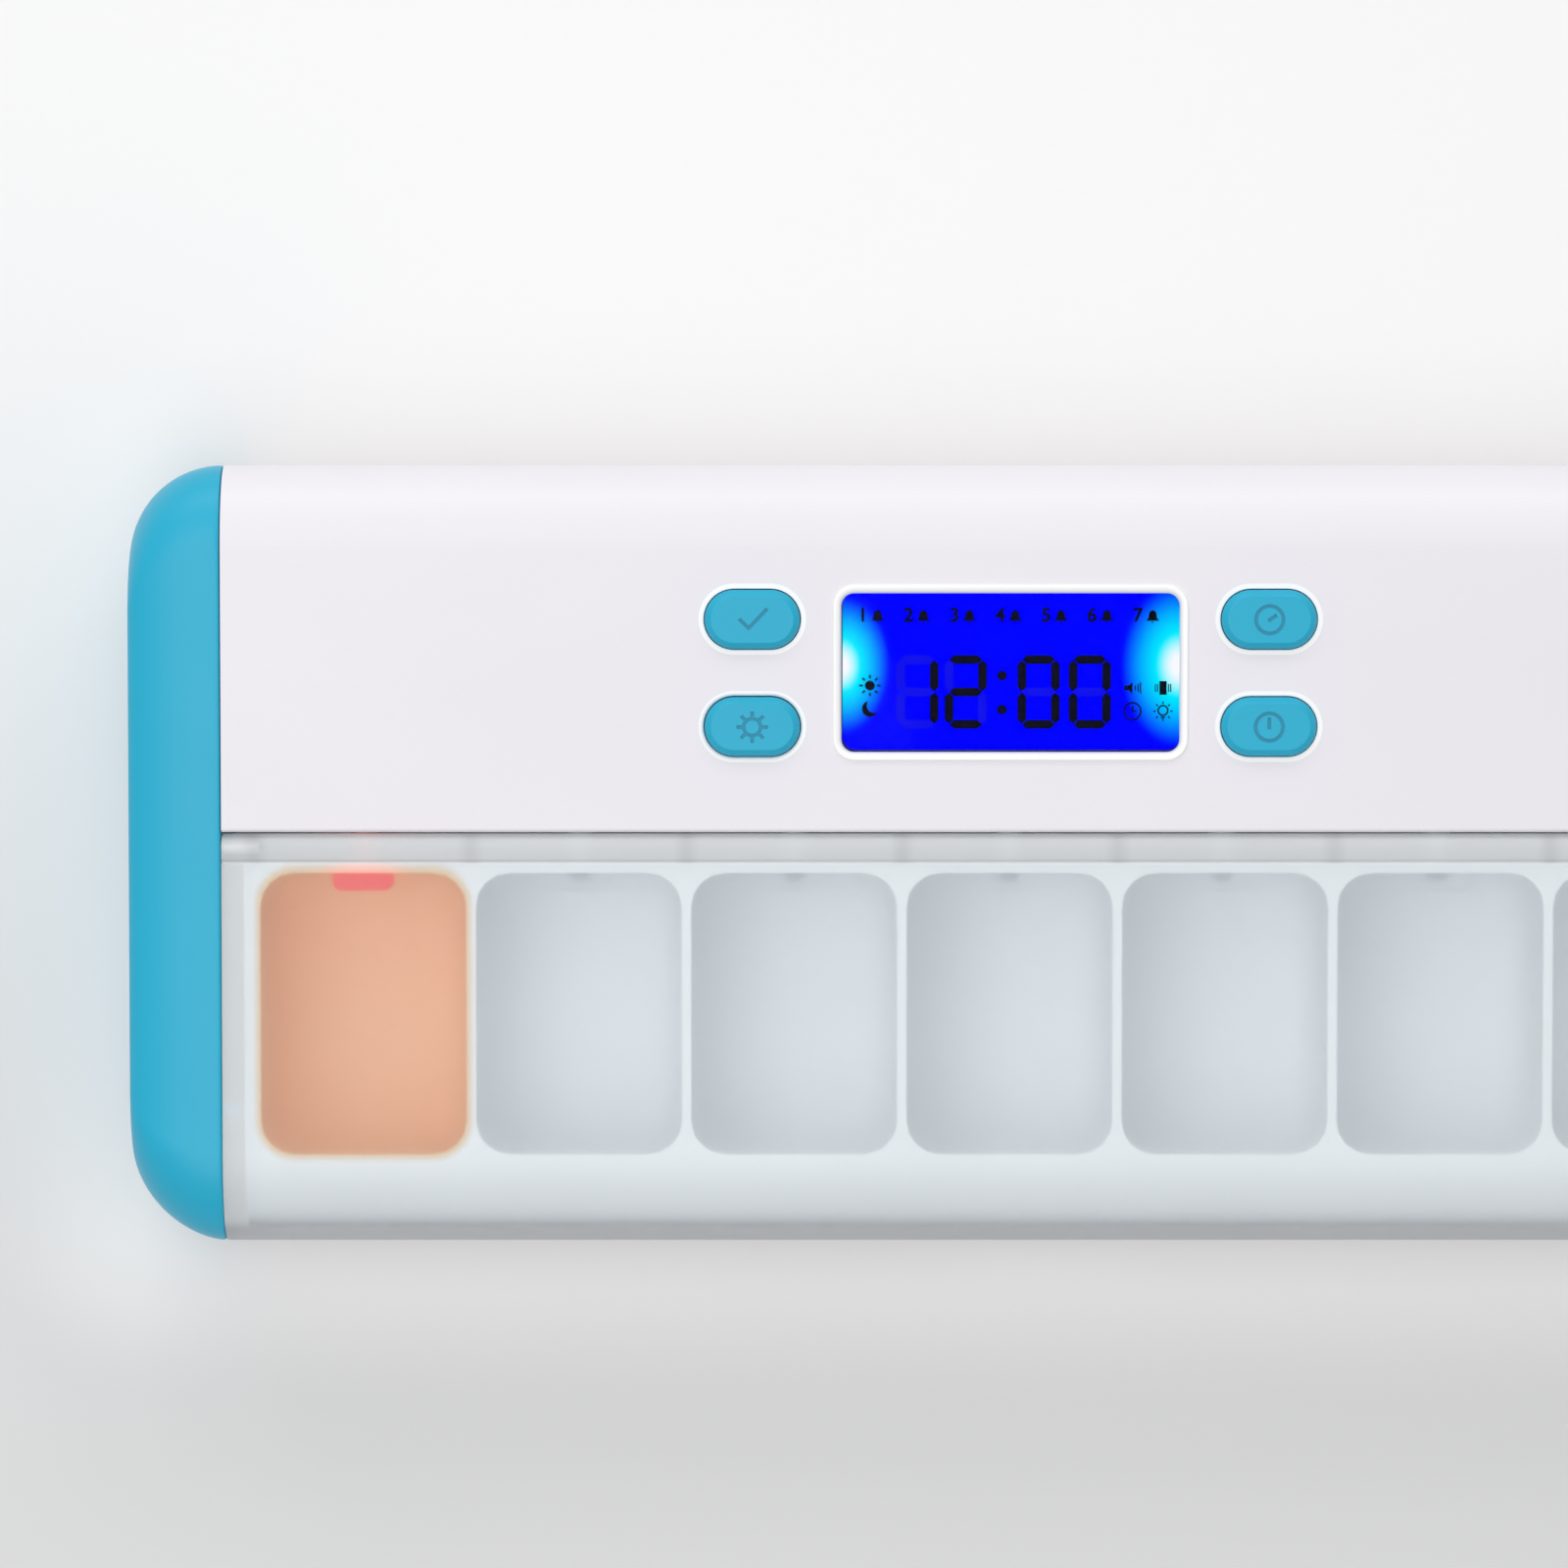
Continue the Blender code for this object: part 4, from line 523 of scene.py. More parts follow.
@dataclass(frozen=True)
class Grained(Finish):
    """An even material with a broad stain in its colour and a fine grain on its surface."""

    colour: Colour
    stained: float
    stain: Pair
    grain: Pair
    roughness: Triple
    relief: float = 0.0
    stretch: Triple = (1.0, 1.0, 1.0)
    sockets: tuple[tuple[str, float], ...] = ()

    def surface(self, graph: Graph) -> Value:
        """Writes the shader.

        Args:
            graph: The material's node tree.

        Returns:
            The shader.
        """
        stain, grain = graph.noise(*self.stain), graph.noise(*self.grain, self.stretch)
        plain, stain_share, grain_share = self.roughness
        return graph.principled(
            Base_Color=graph.blend(stain, scaled(self.colour, self.stained), self.colour),
            Roughness=plain + stain * stain_share + grain * grain_share,
            Normal=graph.bump(grain, self.relief),
            **dict(self.sockets),
        )


@dataclass(frozen=True)
class Glowing(Finish):
    """Ink or clear plastic that gives off its own light, from one end on where it has a tip."""

    colour: Colour
    glow: Colour
    roughness: Pair = (0.12, 0.05)
    swirl_size: float = 1.2 * MM
    swirled: float = 0.9
    dimmed: float = 1.0
    strength: float = 1.0
    tip: float | None = None
    tip_fade: Pair = (1.2 * MM, 0.3 * MM)
    sockets: tuple[tuple[str, float], ...] = (("Transmission_Weight", 0.3),)

    def surface(self, graph: Graph) -> Value:
        """Writes the shader.

        Args:
            graph: The material's node tree.

        Returns:
            The shader.
        """
        swirl = graph.noise(self.swirl_size, 2.0)
        glow = graph.blend(swirl, scaled(self.glow, self.dimmed), self.glow)
        if self.tip is not None:
            near = graph.place("Y").ease(*(self.tip + fade for fade in self.tip_fade))
            glow = graph.blend(near, BLACK, self.glow)
        return graph.principled(
            Base_Color=graph.blend(swirl, scaled(self.colour, self.swirled), self.colour),
            Roughness=self.roughness[0] + swirl * self.roughness[1],
            Emission_Color=glow,
            Emission_Strength=self.strength,
            **dict(self.sockets),
        )


@dataclass(frozen=True)
class TrayPlastic(Finish):
    """Pale tray plastic; the compartment whose lamp is on takes its warm light."""

    colour: Colour
    warm: Colour
    centre: Pair = (-80.4 * MM, -19.75 * MM)
    half: Pair = (12.8 * MM, 17.65 * MM)
    corner: float = 4.2 * MM
    lamp: Triple = (-80.4 * MM, -3.2 * MM, 21 * MM)
    glow: Colour = (0.15, 0.042, 0.006)
    spot: Colour = (0.5, 0.0, 0.0)
    halo: Colour = (0.72, 0.5, 0.24)
    wall_fade: Pair = (1.2 * MM, -1.4 * MM)
    halo_share: float = 3.0
    spot_squash: Triple = (0.22, 1.2, 0.09)
    spot_fade: Pair = (4.0 * MM, 1.9 * MM)
    speck_size: float = 0.4 * MM
    speck_relief: float = 0.005 * MM
    cloud_size: float = 16 * MM

    def surface(self, graph: Graph) -> Value:
        """Writes the shader.

        Args:
            graph: The material's node tree.

        Returns:
            The shader.
        """
        place = [graph.place(axis) for axis in "XYZ"]
        across, along = abs(place[0] - self.centre[0]), abs(place[1] - self.centre[1])
        # Painted light from the lit lamp: the compartment's warm colour and glow, a halo at its walls and
        # the red spot by the lamp.
        inside = outside(across, along, self.half, self.corner).ease(*self.wall_fade)
        edge = inside * (1.0 - inside) * self.halo_share
        offset = [coordinate - lamp for coordinate, lamp in zip(place, self.lamp)]
        parts = [part * part * squash for part, squash in zip(offset, self.spot_squash)]
        near = ((parts[0] + parts[1] + parts[2]) ** 0.5).ease(*self.spot_fade)
        speck = graph.noise(self.speck_size, 3.0)
        cloud = graph.noise(self.cloud_size, 3.0)
        pale = graph.blend(cloud, scaled(self.colour, 0.97), self.colour)
        warm = graph.blend(cloud * 0.5, self.warm, scaled(self.warm, 0.93))
        warm = graph.blend(near, warm, self.spot)
        return graph.principled(
            Base_Color=graph.blend(edge, graph.blend(inside, pale, warm), self.halo),
            Roughness=0.42 + speck * 0.08,
            Normal=graph.bump(speck, self.speck_relief),
            Emission_Color=graph.blend(near, graph.blend(inside, BLACK, self.glow), self.spot),
            Emission_Strength=1.0,
        )


def crystal_ink(name: str, glow: Colour) -> Glowing:
    """A display segment: nearly black where it is on, a shade darker than the glow where it is off."""
    black, dull = (0.002, 0.002, 0.004), (("Specular_IOR_Level", 0.02),)
    return Glowing(name, black, glow, (0.5, 0.1), 0.5 * MM, 1.0, 0.9, sockets=dull)


@dataclass(frozen=True)
class SolderMask(Finish):
    """A printed board: green mask over copper tracks, with bare pads."""

    across: str = "Y"
    track_pitch: float = 1.6 * MM
    pad_pitch: float = 2.54 * MM
    wander_size: float = 7 * MM
    wander_reach: float = 4 * MM
    track_relief: float = 0.02 * MM
    green: Colour = (0.012, 0.11, 0.045)
    track_green: Colour = (0.03, 0.2, 0.075)
    tin: Colour = (0.68, 0.6, 0.4)

    def surface(self, graph: Graph) -> Value:
        """Writes the shader.

        Args:
            graph: The material's node tree.

        Returns:
            The shader.
        """
        wander = graph.noise(self.wander_size, 1.0)
        lane = (graph.place(self.across) + wander * self.wander_reach) / self.track_pitch
        lane = abs(lane.fract() - 0.5)
        cell = abs((graph.place("X") / self.pad_pitch).fract() - 0.5)
        track = lane.ease(0.22, 0.16)
        pad = cell.ease(0.2, 0.16) * lane.ease(0.3, 0.26) * (wander > 0.62)
        return graph.principled(
            Base_Color=graph.blend(pad, graph.blend(track, self.green, self.track_green), self.tin),
            Roughness=0.42 - track * 0.08,
            Metallic=pad,
            Normal=graph.bump(track, self.track_relief),
        )


@dataclass(frozen=True)
class BatteryJacket(Finish):
    """A cell's printed film: a dark body, a copper band by the nub and bare metal at both ends."""

    shoulder: float
    length: float
    side: int
    film_fade: Pair = (0.5 * MM, 0.7 * MM)
    film_stop: Pair = (0.4 * MM, 0.6 * MM)
    band_fade: Pair = (11 * MM, 10.8 * MM)
    seam_size: float = 1.5 * MM
    seam_relief: float = 0.01 * MM
    print_dark: Colour = (0.025, 0.028, 0.035)
    copper: Colour = (0.62, 0.26, 0.09)
    bare: Colour = (0.6, 0.6, 0.61)

    def surface(self, graph: Graph) -> Value:
        """Writes the shader.

        Args:
            graph: The material's node tree.

        Returns:
            The shader.
        """
        along = graph.place("X")
        behind = self.shoulder - along if self.side > 0 else along - self.shoulder
        film = behind.ease(*self.film_fade) * behind.ease(*(self.length - stop for stop in self.film_stop))
        printed = graph.blend(behind.ease(*self.band_fade), self.print_dark, self.copper)
        seam = graph.noise(self.seam_size, 2.0)
        return graph.principled(
            Base_Color=graph.blend(film, self.bare, printed),
            Metallic=1.0 - film * 0.6,
            Roughness=0.26 + seam * 0.08,
            Coat_Weight=film * 0.5,
            Normal=graph.bump(seam, self.seam_relief),
        )


@dataclass(frozen=True)
class StudioPaper(Finish):
    """The pale sweep under the case, painted greyer in front as shade, with painted light round the case
    that lifts the case's shadow on the paper.
    """

    back: Colour
    front: Colour
    shadow_lift: Colour
    sweep: Pair = (110 * MM, -100 * MM)
    shadow_lift_half: Pair = (108 * MM, 47 * MM)
    shadow_lift_fade: float = 24 * MM
    fibre: Colour = (0.6, 0.6, 0.6)
    fibre_size: float = 1.5 * MM

    def surface(self, graph: Graph) -> Value:
        """Writes the shader.

        Args:
            graph: The material's node tree.

        Returns:
            The shader.
        """
        across, along = graph.place("X"), graph.place("Y")
        # Painted shade: the paper's colour darkens from back to front, standing for the light falling off.
        colour = graph.blend(along.ease(*self.sweep), self.back, self.front)
        # Painted light: the paper is lighter round the case, where its shadow falls.
        reach = outside(abs(across), abs(along), self.shadow_lift_half, 0.0)
        colour = graph.blend(reach.ease(self.shadow_lift_fade, 0.0), colour, self.shadow_lift)
        colour = graph.blend(graph.noise(self.fibre_size, 4.0) * 0.03, colour, self.fibre)
        return graph.principled(Base_Color=colour, Roughness=0.85, Specular_IOR_Level=0.1)


class Axis(Enum):
    """The direction a rod or a turned form runs in, with the turn that brings Z there."""

    X = "X"
    Y = "Y"
    Z = "Z"

    def turn(self) -> Matrix:
        """The turn from Z to this axis."""
        angle, about = {"X": (math.pi / 2, "Y"), "Y": (-math.pi / 2, "X"), "Z": (0.0, "Z")}[self.value]
        return Matrix.Rotation(angle, 4, about)


class Outline:
    """A closed outline in the YZ plane, drawn corner by corner; its arcs are spun from one point."""

    def __init__(self) -> None:
        """Starts an empty outline."""
        self.bm = bmesh.new()
        self.chain: list[bmesh.types.BMVert] = []

    def _link(self, verts: Sequence[bmesh.types.BMVert]) -> None:
        """Joins the next points to the end of the chain.

        Args:
            verts: The points.
        """
        if self.chain:
            self.bm.edges.new((self.chain[-1], verts[0]))
        self.chain += verts

    def to(self, y: float, z: float) -> "Outline":
        """Draws a straight line to a point."""
        self._link([self.bm.verts.new((0.0, y, z))])
        return self

    def arc(self, centre: Pair, radii: Pair, start: float, sweep: float, steps: int) -> "Outline":
        """Draws an arc of a circle or an ellipse.

        Args:
            centre: Y and Z of its centre.
            radii: Its half axes along Y and Z.
            start: Angle at which it starts, from +Y towards +Z.
            sweep: Angle it turns through.
            steps: Number of chords.

        Returns:
            The outline.
        """
        first = self.bm.verts.new((0.0, math.cos(start), math.sin(start)))
        before = len(self.bm.verts)
        turn = {"cent": (0, 0, 0), "axis": (1, 0, 0), "angle": sweep, "steps": steps}
        bmesh.ops.spin(self.bm, geom=[first], use_merge=False, **turn)
        self.bm.verts.ensure_lookup_table()
        ring = [first, *self.bm.verts[before:]]
        placed = Matrix.Translation((0.0, *centre)) @ Matrix.Diagonal((1.0, *radii, 1.0))
        bmesh.ops.transform(self.bm, matrix=placed, verts=ring)
        self._link(ring)
        return self

    def fill(self) -> "Form":
        """Closes the outline.

        Returns:
            A form with the outline's one face.
        """
        self.bm.edges.new((self.chain[-1], self.chain[0]))
        bmesh.ops.remove_doubles(self.bm, verts=self.bm.verts[:], dist=0.0005 * MM)
        bmesh.ops.contextual_create(self.bm, geom=self.bm.edges[:])
        return Form(self.bm)


Pick = Callable[[bmesh.types.BMEdge], bool]


class Form:
    """A mesh in the making, shaped with modelling operators."""

    def __init__(self, bm: bmesh.types.BMesh | None = None) -> None:
        """Starts from a mesh, or from nothing."""
        self.bm = bm or bmesh.new()

    @classmethod
    def block(
        cls, low: Sequence[float], high: Sequence[float], radius: float = 0.0, steps: int = 6,
        axis: Axis = Axis.Z,
    ) -> "Form":
        """A box between two corners, its edges along one axis rounded.

        Args:
            low: Lowest corner.
            high: Highest corner.
            radius: Radius of the rounded edges.
            steps: Facets of a quarter turn.
            axis: The axis along which the rounded edges run.

        Returns:
            The form.
        """
        made = cls()
        span = Vector(high) - Vector(low)
        place = Matrix.Translation((Vector(low) + Vector(high)) / 2) @ Matrix.Diagonal((*span, 1.0))
        bmesh.ops.create_cube(made.bm, size=1.0, matrix=place)
        if radius:
            on = "XYZ".index(axis.value)
            half = span[on] / 2
            made.round(lambda e: abs(e.verts[0].co[on] - e.verts[1].co[on]) > half, radius, steps)
            bmesh.ops.remove_doubles(made.bm, verts=made.bm.verts[:], dist=0.003 * MM)
        return made

    @classmethod
    def slab(cls, half: Sequence[float], low: float, high: float, radius: float, steps: int = 6) -> "Form":
        """A block round the Z axis between two levels, from half of its two spans."""
        return cls.block((-half[0], -half[1], low), (half[0], half[1], high), radius, steps)

    @classmethod
    def rod(
        cls, radius: float, start: Sequence[float], length: float, axis: Axis = Axis.Z, steps: int = 32
    ) -> "Form":
        """A round bar.

        Args:
            radius: Its radius.
            start: Middle of its first end.
            length: Length; it runs towards + on its axis.
            axis: Its direction.
            steps: Facets round it.

        Returns:
            The form.
        """
        made = cls()
        matrix = Matrix.Translation(Vector(start)) @ axis.turn() @ Matrix.Translation((0, 0, length / 2))
        shape = {"segments": steps, "radius1": radius, "radius2": radius, "depth": length}
        bmesh.ops.create_cone(made.bm, cap_ends=True, matrix=matrix, **shape)
        return made

    @classmethod
    def turned(
        cls, rings: Sequence[Pair], base: Sequence[float], axis: Axis = Axis.Z, steps: int = 40
    ) -> "Form":
        """A shape turned on a lathe.

        Args:
            rings: Radius and height of each corner of its half outline, from pole to pole or closed.
            base: The point its heights are counted from.
            axis: The axis it is turned about.
            steps: Facets round it.

        Returns:
            The form.
        """
        made = cls()
        chain = [made.bm.verts.new((radius, 0.0, height)) for radius, height in rings]
        ends = chain[1:] + chain[:1] if rings[0][0] > 0 else chain[1:]
        edges = [made.bm.edges.new(pair) for pair in zip(chain, ends)]
        turn = {"cent": (0, 0, 0), "axis": (0, 0, 1), "angle": 2 * math.pi, "steps": steps}
        bmesh.ops.spin(made.bm, geom=chain + edges, use_merge=True, **turn)
        bmesh.ops.remove_doubles(made.bm, verts=made.bm.verts[:], dist=HAIR)
        bmesh.ops.recalc_face_normals(made.bm, faces=made.bm.faces[:])
        return made.move(Matrix.Translation(Vector(base)) @ axis.turn())

    @classmethod
    def copy_of(cls, node: str) -> "Form":
        """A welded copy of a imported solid.

        Args:
            node: The solid's name.

        Returns:
            The form, with flat areas in one face each.
        """
        made = cls()
        made.bm.from_mesh(bpy.data.objects[node].data)
        made.bm.transform(bpy.data.objects[node].matrix_world)
        bmesh.ops.remove_doubles(made.bm, verts=made.bm.verts[:], dist=0.002 * MM)
        flat, verts, edges = math.radians(0.6), made.bm.verts[:], made.bm.edges[:]
        bmesh.ops.dissolve_limit(made.bm, angle_limit=flat, verts=verts, edges=edges)
        return made

    def move(self, matrix: Matrix) -> "Form":
        """Places the whole form."""
        bmesh.ops.transform(self.bm, matrix=matrix, verts=self.bm.verts[:])
        return self

    def shift(self, x: float = 0.0, y: float = 0.0, z: float = 0.0) -> "Form":
        """Moves the whole form by a step along each axis."""
        return self.move(Matrix.Translation((x, y, z)))

    def prism(self, start: float, stop: float) -> "Form":
        """Pulls a flat form of the YZ plane out along X.

        Args:
            start: Where it starts.
            stop: Where it ends.

        Returns:
            The form.
        """
        bmesh.ops.translate(self.bm, verts=self.bm.verts[:], vec=(start, 0.0, 0.0))
        pulled = bmesh.ops.extrude_face_region(self.bm, geom=self.bm.faces[:])["geom"]
        moved = [item for item in pulled if isinstance(item, bmesh.types.BMVert)]
        bmesh.ops.translate(self.bm, verts=moved, vec=(stop - start, 0.0, 0.0))
        bmesh.ops.recalc_face_normals(self.bm, faces=self.bm.faces[:])
        return self

    def round(self, pick: Pick, offset: float, steps: int = 3) -> "Form":
        """Rounds the chosen edges.

        Args:
            pick: Tells whether an edge is rounded.
            offset: Width of the rounding.
            steps: Facets across it.

        Returns:
            The form.
        """
        chosen = [edge for edge in self.bm.edges if pick(edge)]
        kind = {"profile": 0.5, "affect": "EDGES", "material": -1, "clamp_overlap": True}
        bmesh.ops.bevel(self.bm, geom=chosen, offset=offset, segments=steps, **kind)
        return self

    def soften(self, offset: float, steps: int = 2, sharp: float = 40.0) -> "Form":
        """Rounds every outward edge whose faces meet at more than an angle in degrees."""
        limit = math.radians(sharp)
        return self.round(lambda e: e.is_convex and e.calc_face_angle(0.0) > limit, offset, steps)

    def add(self, *others: "Form") -> "Form":
        """Puts other forms beside this one, unjoined.

        Args:
            *others: The other forms, used up.

        Returns:
            The form.
        """
        for other in others:
            mesh = bpy.data.meshes.new("part")
            other.bm.to_mesh(mesh)
            self.bm.from_mesh(mesh)
            bpy.data.meshes.remove(mesh)
            other.bm.free()
        return self

    def _solid(self, others: Sequence["Form"], operation: str) -> "Form":
        """Joins the others to this form, or cuts them away, by an exact Boolean.

        Args:
            others: The other forms, used up.
            operation: "UNION" or "DIFFERENCE".

        Returns:
            The form.
        """
        holder = self._holder("work")
        helpers = [other._holder("helper") for other in others]
        for helper in helpers:
            modifier = holder.modifiers.new(helper.name, "BOOLEAN")
            modifier.operation, modifier.object, modifier.solver = operation, helper, "EXACT"
        bpy.context.view_layer.update()
        shaped = holder.evaluated_get(bpy.context.evaluated_depsgraph_get())
        mesh = bpy.data.meshes.new_from_object(shaped)
        self.bm = bmesh.new()
        self.bm.from_mesh(mesh)
        for obj in (holder, *helpers):
            spent = obj.data
            bpy.data.objects.remove(obj, do_unlink=True)
            bpy.data.meshes.remove(spent)
        bpy.data.meshes.remove(mesh)
        return self

    def _holder(self, name: str) -> bpy.types.Object:
        """Puts this form into the scene, used up.

        Args:
            name: Name of the object.

        Returns:
            The object.
        """
        mesh = bpy.data.meshes.new(name)
        self.bm.to_mesh(mesh)
        self.bm.free()
        return add_object(name, mesh)

    def carve(self, *others: "Form") -> "Form":
        """Cuts other forms away from this one."""
        return self._solid(others, "DIFFERENCE")

    def weld(self, *others: "Form") -> "Form":
        """Joins other forms to this one."""
        return self._solid(others, "UNION")

    def piece(
        self,
        name: str,
        finish: Material,
        slot: str,
        replaces: Sequence[str] = (),
        body: str = "housing",
        sharp: float = 38.0,
    ) -> None:
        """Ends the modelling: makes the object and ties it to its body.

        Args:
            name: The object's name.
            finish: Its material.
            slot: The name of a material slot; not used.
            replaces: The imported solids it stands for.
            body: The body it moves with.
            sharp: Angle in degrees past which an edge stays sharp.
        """
        made = self._holder(name)
        mesh = made.data
        mesh.materials.append(finish)
        mesh.shade_smooth()
        mesh.set_sharp_from_angle(angle=math.radians(sharp))
        even = made.modifiers.new("even_shading", "WEIGHTED_NORMAL")
        even.keep_sharp = True
        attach(made, body)
        if replaces:
            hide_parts(*replaces)
        LOG.info("%s: %d faces on %s", name, len(mesh.polygons), body)


class Sign(Enum):
    """A plain pictogram sunk into a key cap, with the first word of its key's name."""

    TICK = "confirm"
    GEAR = "set"
    SHORT_HAND = "hour"
    LONG_HAND = "minute"


@dataclass(frozen=True)
class FaceLayout:
    """Where the window and the four keys sit on the sloped face, counted from the display's middle."""

    window: Pair = (41.9 * MM, 19.7 * MM)
    window_radius: float = 1.6 * MM
    window_rim: float = 1.1 * MM
    key_size: Pair = (11.8 * MM, 7.3 * MM)
    key_reach: Pair = (32.0 * MM, 6.65 * MM)
    key_rim: float = 0.75 * MM

    def key_places(self) -> dict[Sign, Pair]:
        """The middle of each key, by its sign."""
        x, y = self.key_reach
        return {Sign.TICK: (-x, y), Sign.GEAR: (-x, -y), Sign.SHORT_HAND: (x, y), Sign.LONG_HAND: (x, -y)}

    def rims(self, middle: float) -> tuple[PolishedAndHighlightedRim, ...]:
        """The bands round the window and the keys: smoother, and painted lighter as a highlight.

        Args:
            middle: Y of the display's middle.

        Returns:
            The bands.
        """
        half = tuple(span / 2 for span in self.window)
        key = tuple(span / 2 for span in self.key_size)
        return (
            PolishedAndHighlightedRim((0.0, 0.0), half, self.window_radius, self.window_rim, middle),
            PolishedAndHighlightedRim(self.key_reach, key, key[1], self.key_rim, middle),
        )


@dataclass(frozen=True)
class CaseShape:
    """The sloped, rounded section that every shell of the case follows at its own inset."""

    half_depth: float = 48.5 * MM
    mid_height: float = 28.5 * MM
    slope: float = math.radians(4.0)
    stand: float = 1.0 * MM
    edge_run: float = 11.0 * MM
    edge_drop: float = 9.0 * MM
    lower_radius: float = 8.0 * MM
    shell: float = 2.0 * MM
    gap: float = 0.3 * MM
    seam_gap: float = 0.1 * MM
    hinge_gap: float = 0.16 * MM
    parting: float = 14.5 * MM
    seam: float = 98.0 * MM
    hinge_y: float = 0.8 * MM
    barrel: float = 1.7 * MM
    face_y: float = 22.5 * MM
    overrun: float = 1.0 * MM
    arc_steps: int = 26

    @property
    def body_end(self) -> float:
        """Half length of what lies between the two end caps."""
        return self.seam - self.seam_gap

    @property
    def floor_z(self) -> float:
        """Height of the inside of the floor."""
        return self.stand + self.shell

    @property
    def face(self) -> Matrix:
        """Placement of the sloped face at the middle of the display."""
        place = Matrix.Translation((0.0, self.face_y, self.face_z(self.face_y)))
        return place @ Matrix.Rotation(self.slope, 4, "X")

    @property
    def hinge(self) -> Pair:
        """Y and Z of the lid's pivot."""
        y = self.hinge_y + self.barrel * math.sin(self.slope)
        return (y, self.face_z(y, self.barrel))

    def face_z(self, y: float, inset: float = 0.0) -> float:
        """Height of the sloped face, or of the plane that lies an inset below it."""
        return self.stand + self.mid_height + y * math.tan(self.slope) - inset / math.cos(self.slope)

    def upper_edge(self, outline: Outline, side: int, inset: float = 0.0, outward: bool = True) -> None:
        """Draws the rounded upper edge, a quarter ellipse sheared to the slope, between face and side wall.

        Args:
            outline: The outline to draw on.
            side: 1 at the back, -1 in front.
            inset: Depth below the outer surface.
            outward: Whether it is drawn from the face to the wall.
        """
        run, drop = (self.edge_run - inset) * math.cos(self.slope), self.edge_drop - inset
        middle = side * (self.half_depth - inset - run)
        turn = side * math.pi / 2
        start, sweep = (math.pi / 2, -turn) if outward else (math.pi / 2 - turn, turn)
        before = len(outline.chain)
        outline.arc((0.0, 0.0), (run, drop), start, sweep, self.arc_steps)
        placed = Matrix.Translation((0.0, middle, self.face_z(middle, inset) - drop))
        placed[2][1] = math.tan(self.slope)
        bmesh.ops.transform(outline.bm, matrix=placed, verts=outline.chain[before:])

    def lower_edge(self, outline: Outline, side: int, inset: float = 0.0, inward: bool = True) -> None:
        """Draws the rounded lower edge between the side wall and the underside.

        Args:
            outline: The outline to draw on.
            side: 1 at the back, -1 in front.
            inset: Depth below the outer surface.
            inward: Whether it is drawn from the wall to the underside.
        """
        centre = (side * (self.half_depth - self.lower_radius), self.stand + self.lower_radius)
        radius = self.lower_radius - inset
        wall, under = (0.0, -math.pi / 2) if side > 0 else (math.pi, 3 * math.pi / 2)
        start, sweep = (wall, under - wall) if inward else (under, wall - under)
        outline.arc(centre, (radius, radius), start, sweep, self.arc_steps // 2)

    def section(self, inset: float = 0.0) -> Form:
        """The whole section as one face.

        Args:
            inset: Depth below the outer surface.

        Returns:
            The flat form.
        """
        outline = Outline()
        self.upper_edge(outline, 1, inset)
        self.lower_edge(outline, 1, inset)
        self.lower_edge(outline, -1, inset, inward=False)
        self.upper_edge(outline, -1, inset, outward=False)
        return outline.fill()

    def is_end(self, edge: bmesh.types.BMEdge, place: float) -> bool:
        """Whether an edge lies in one of the two end planes."""
        return all(abs(abs(vert.co.x) - place) < 0.01 * MM for vert in edge.verts)


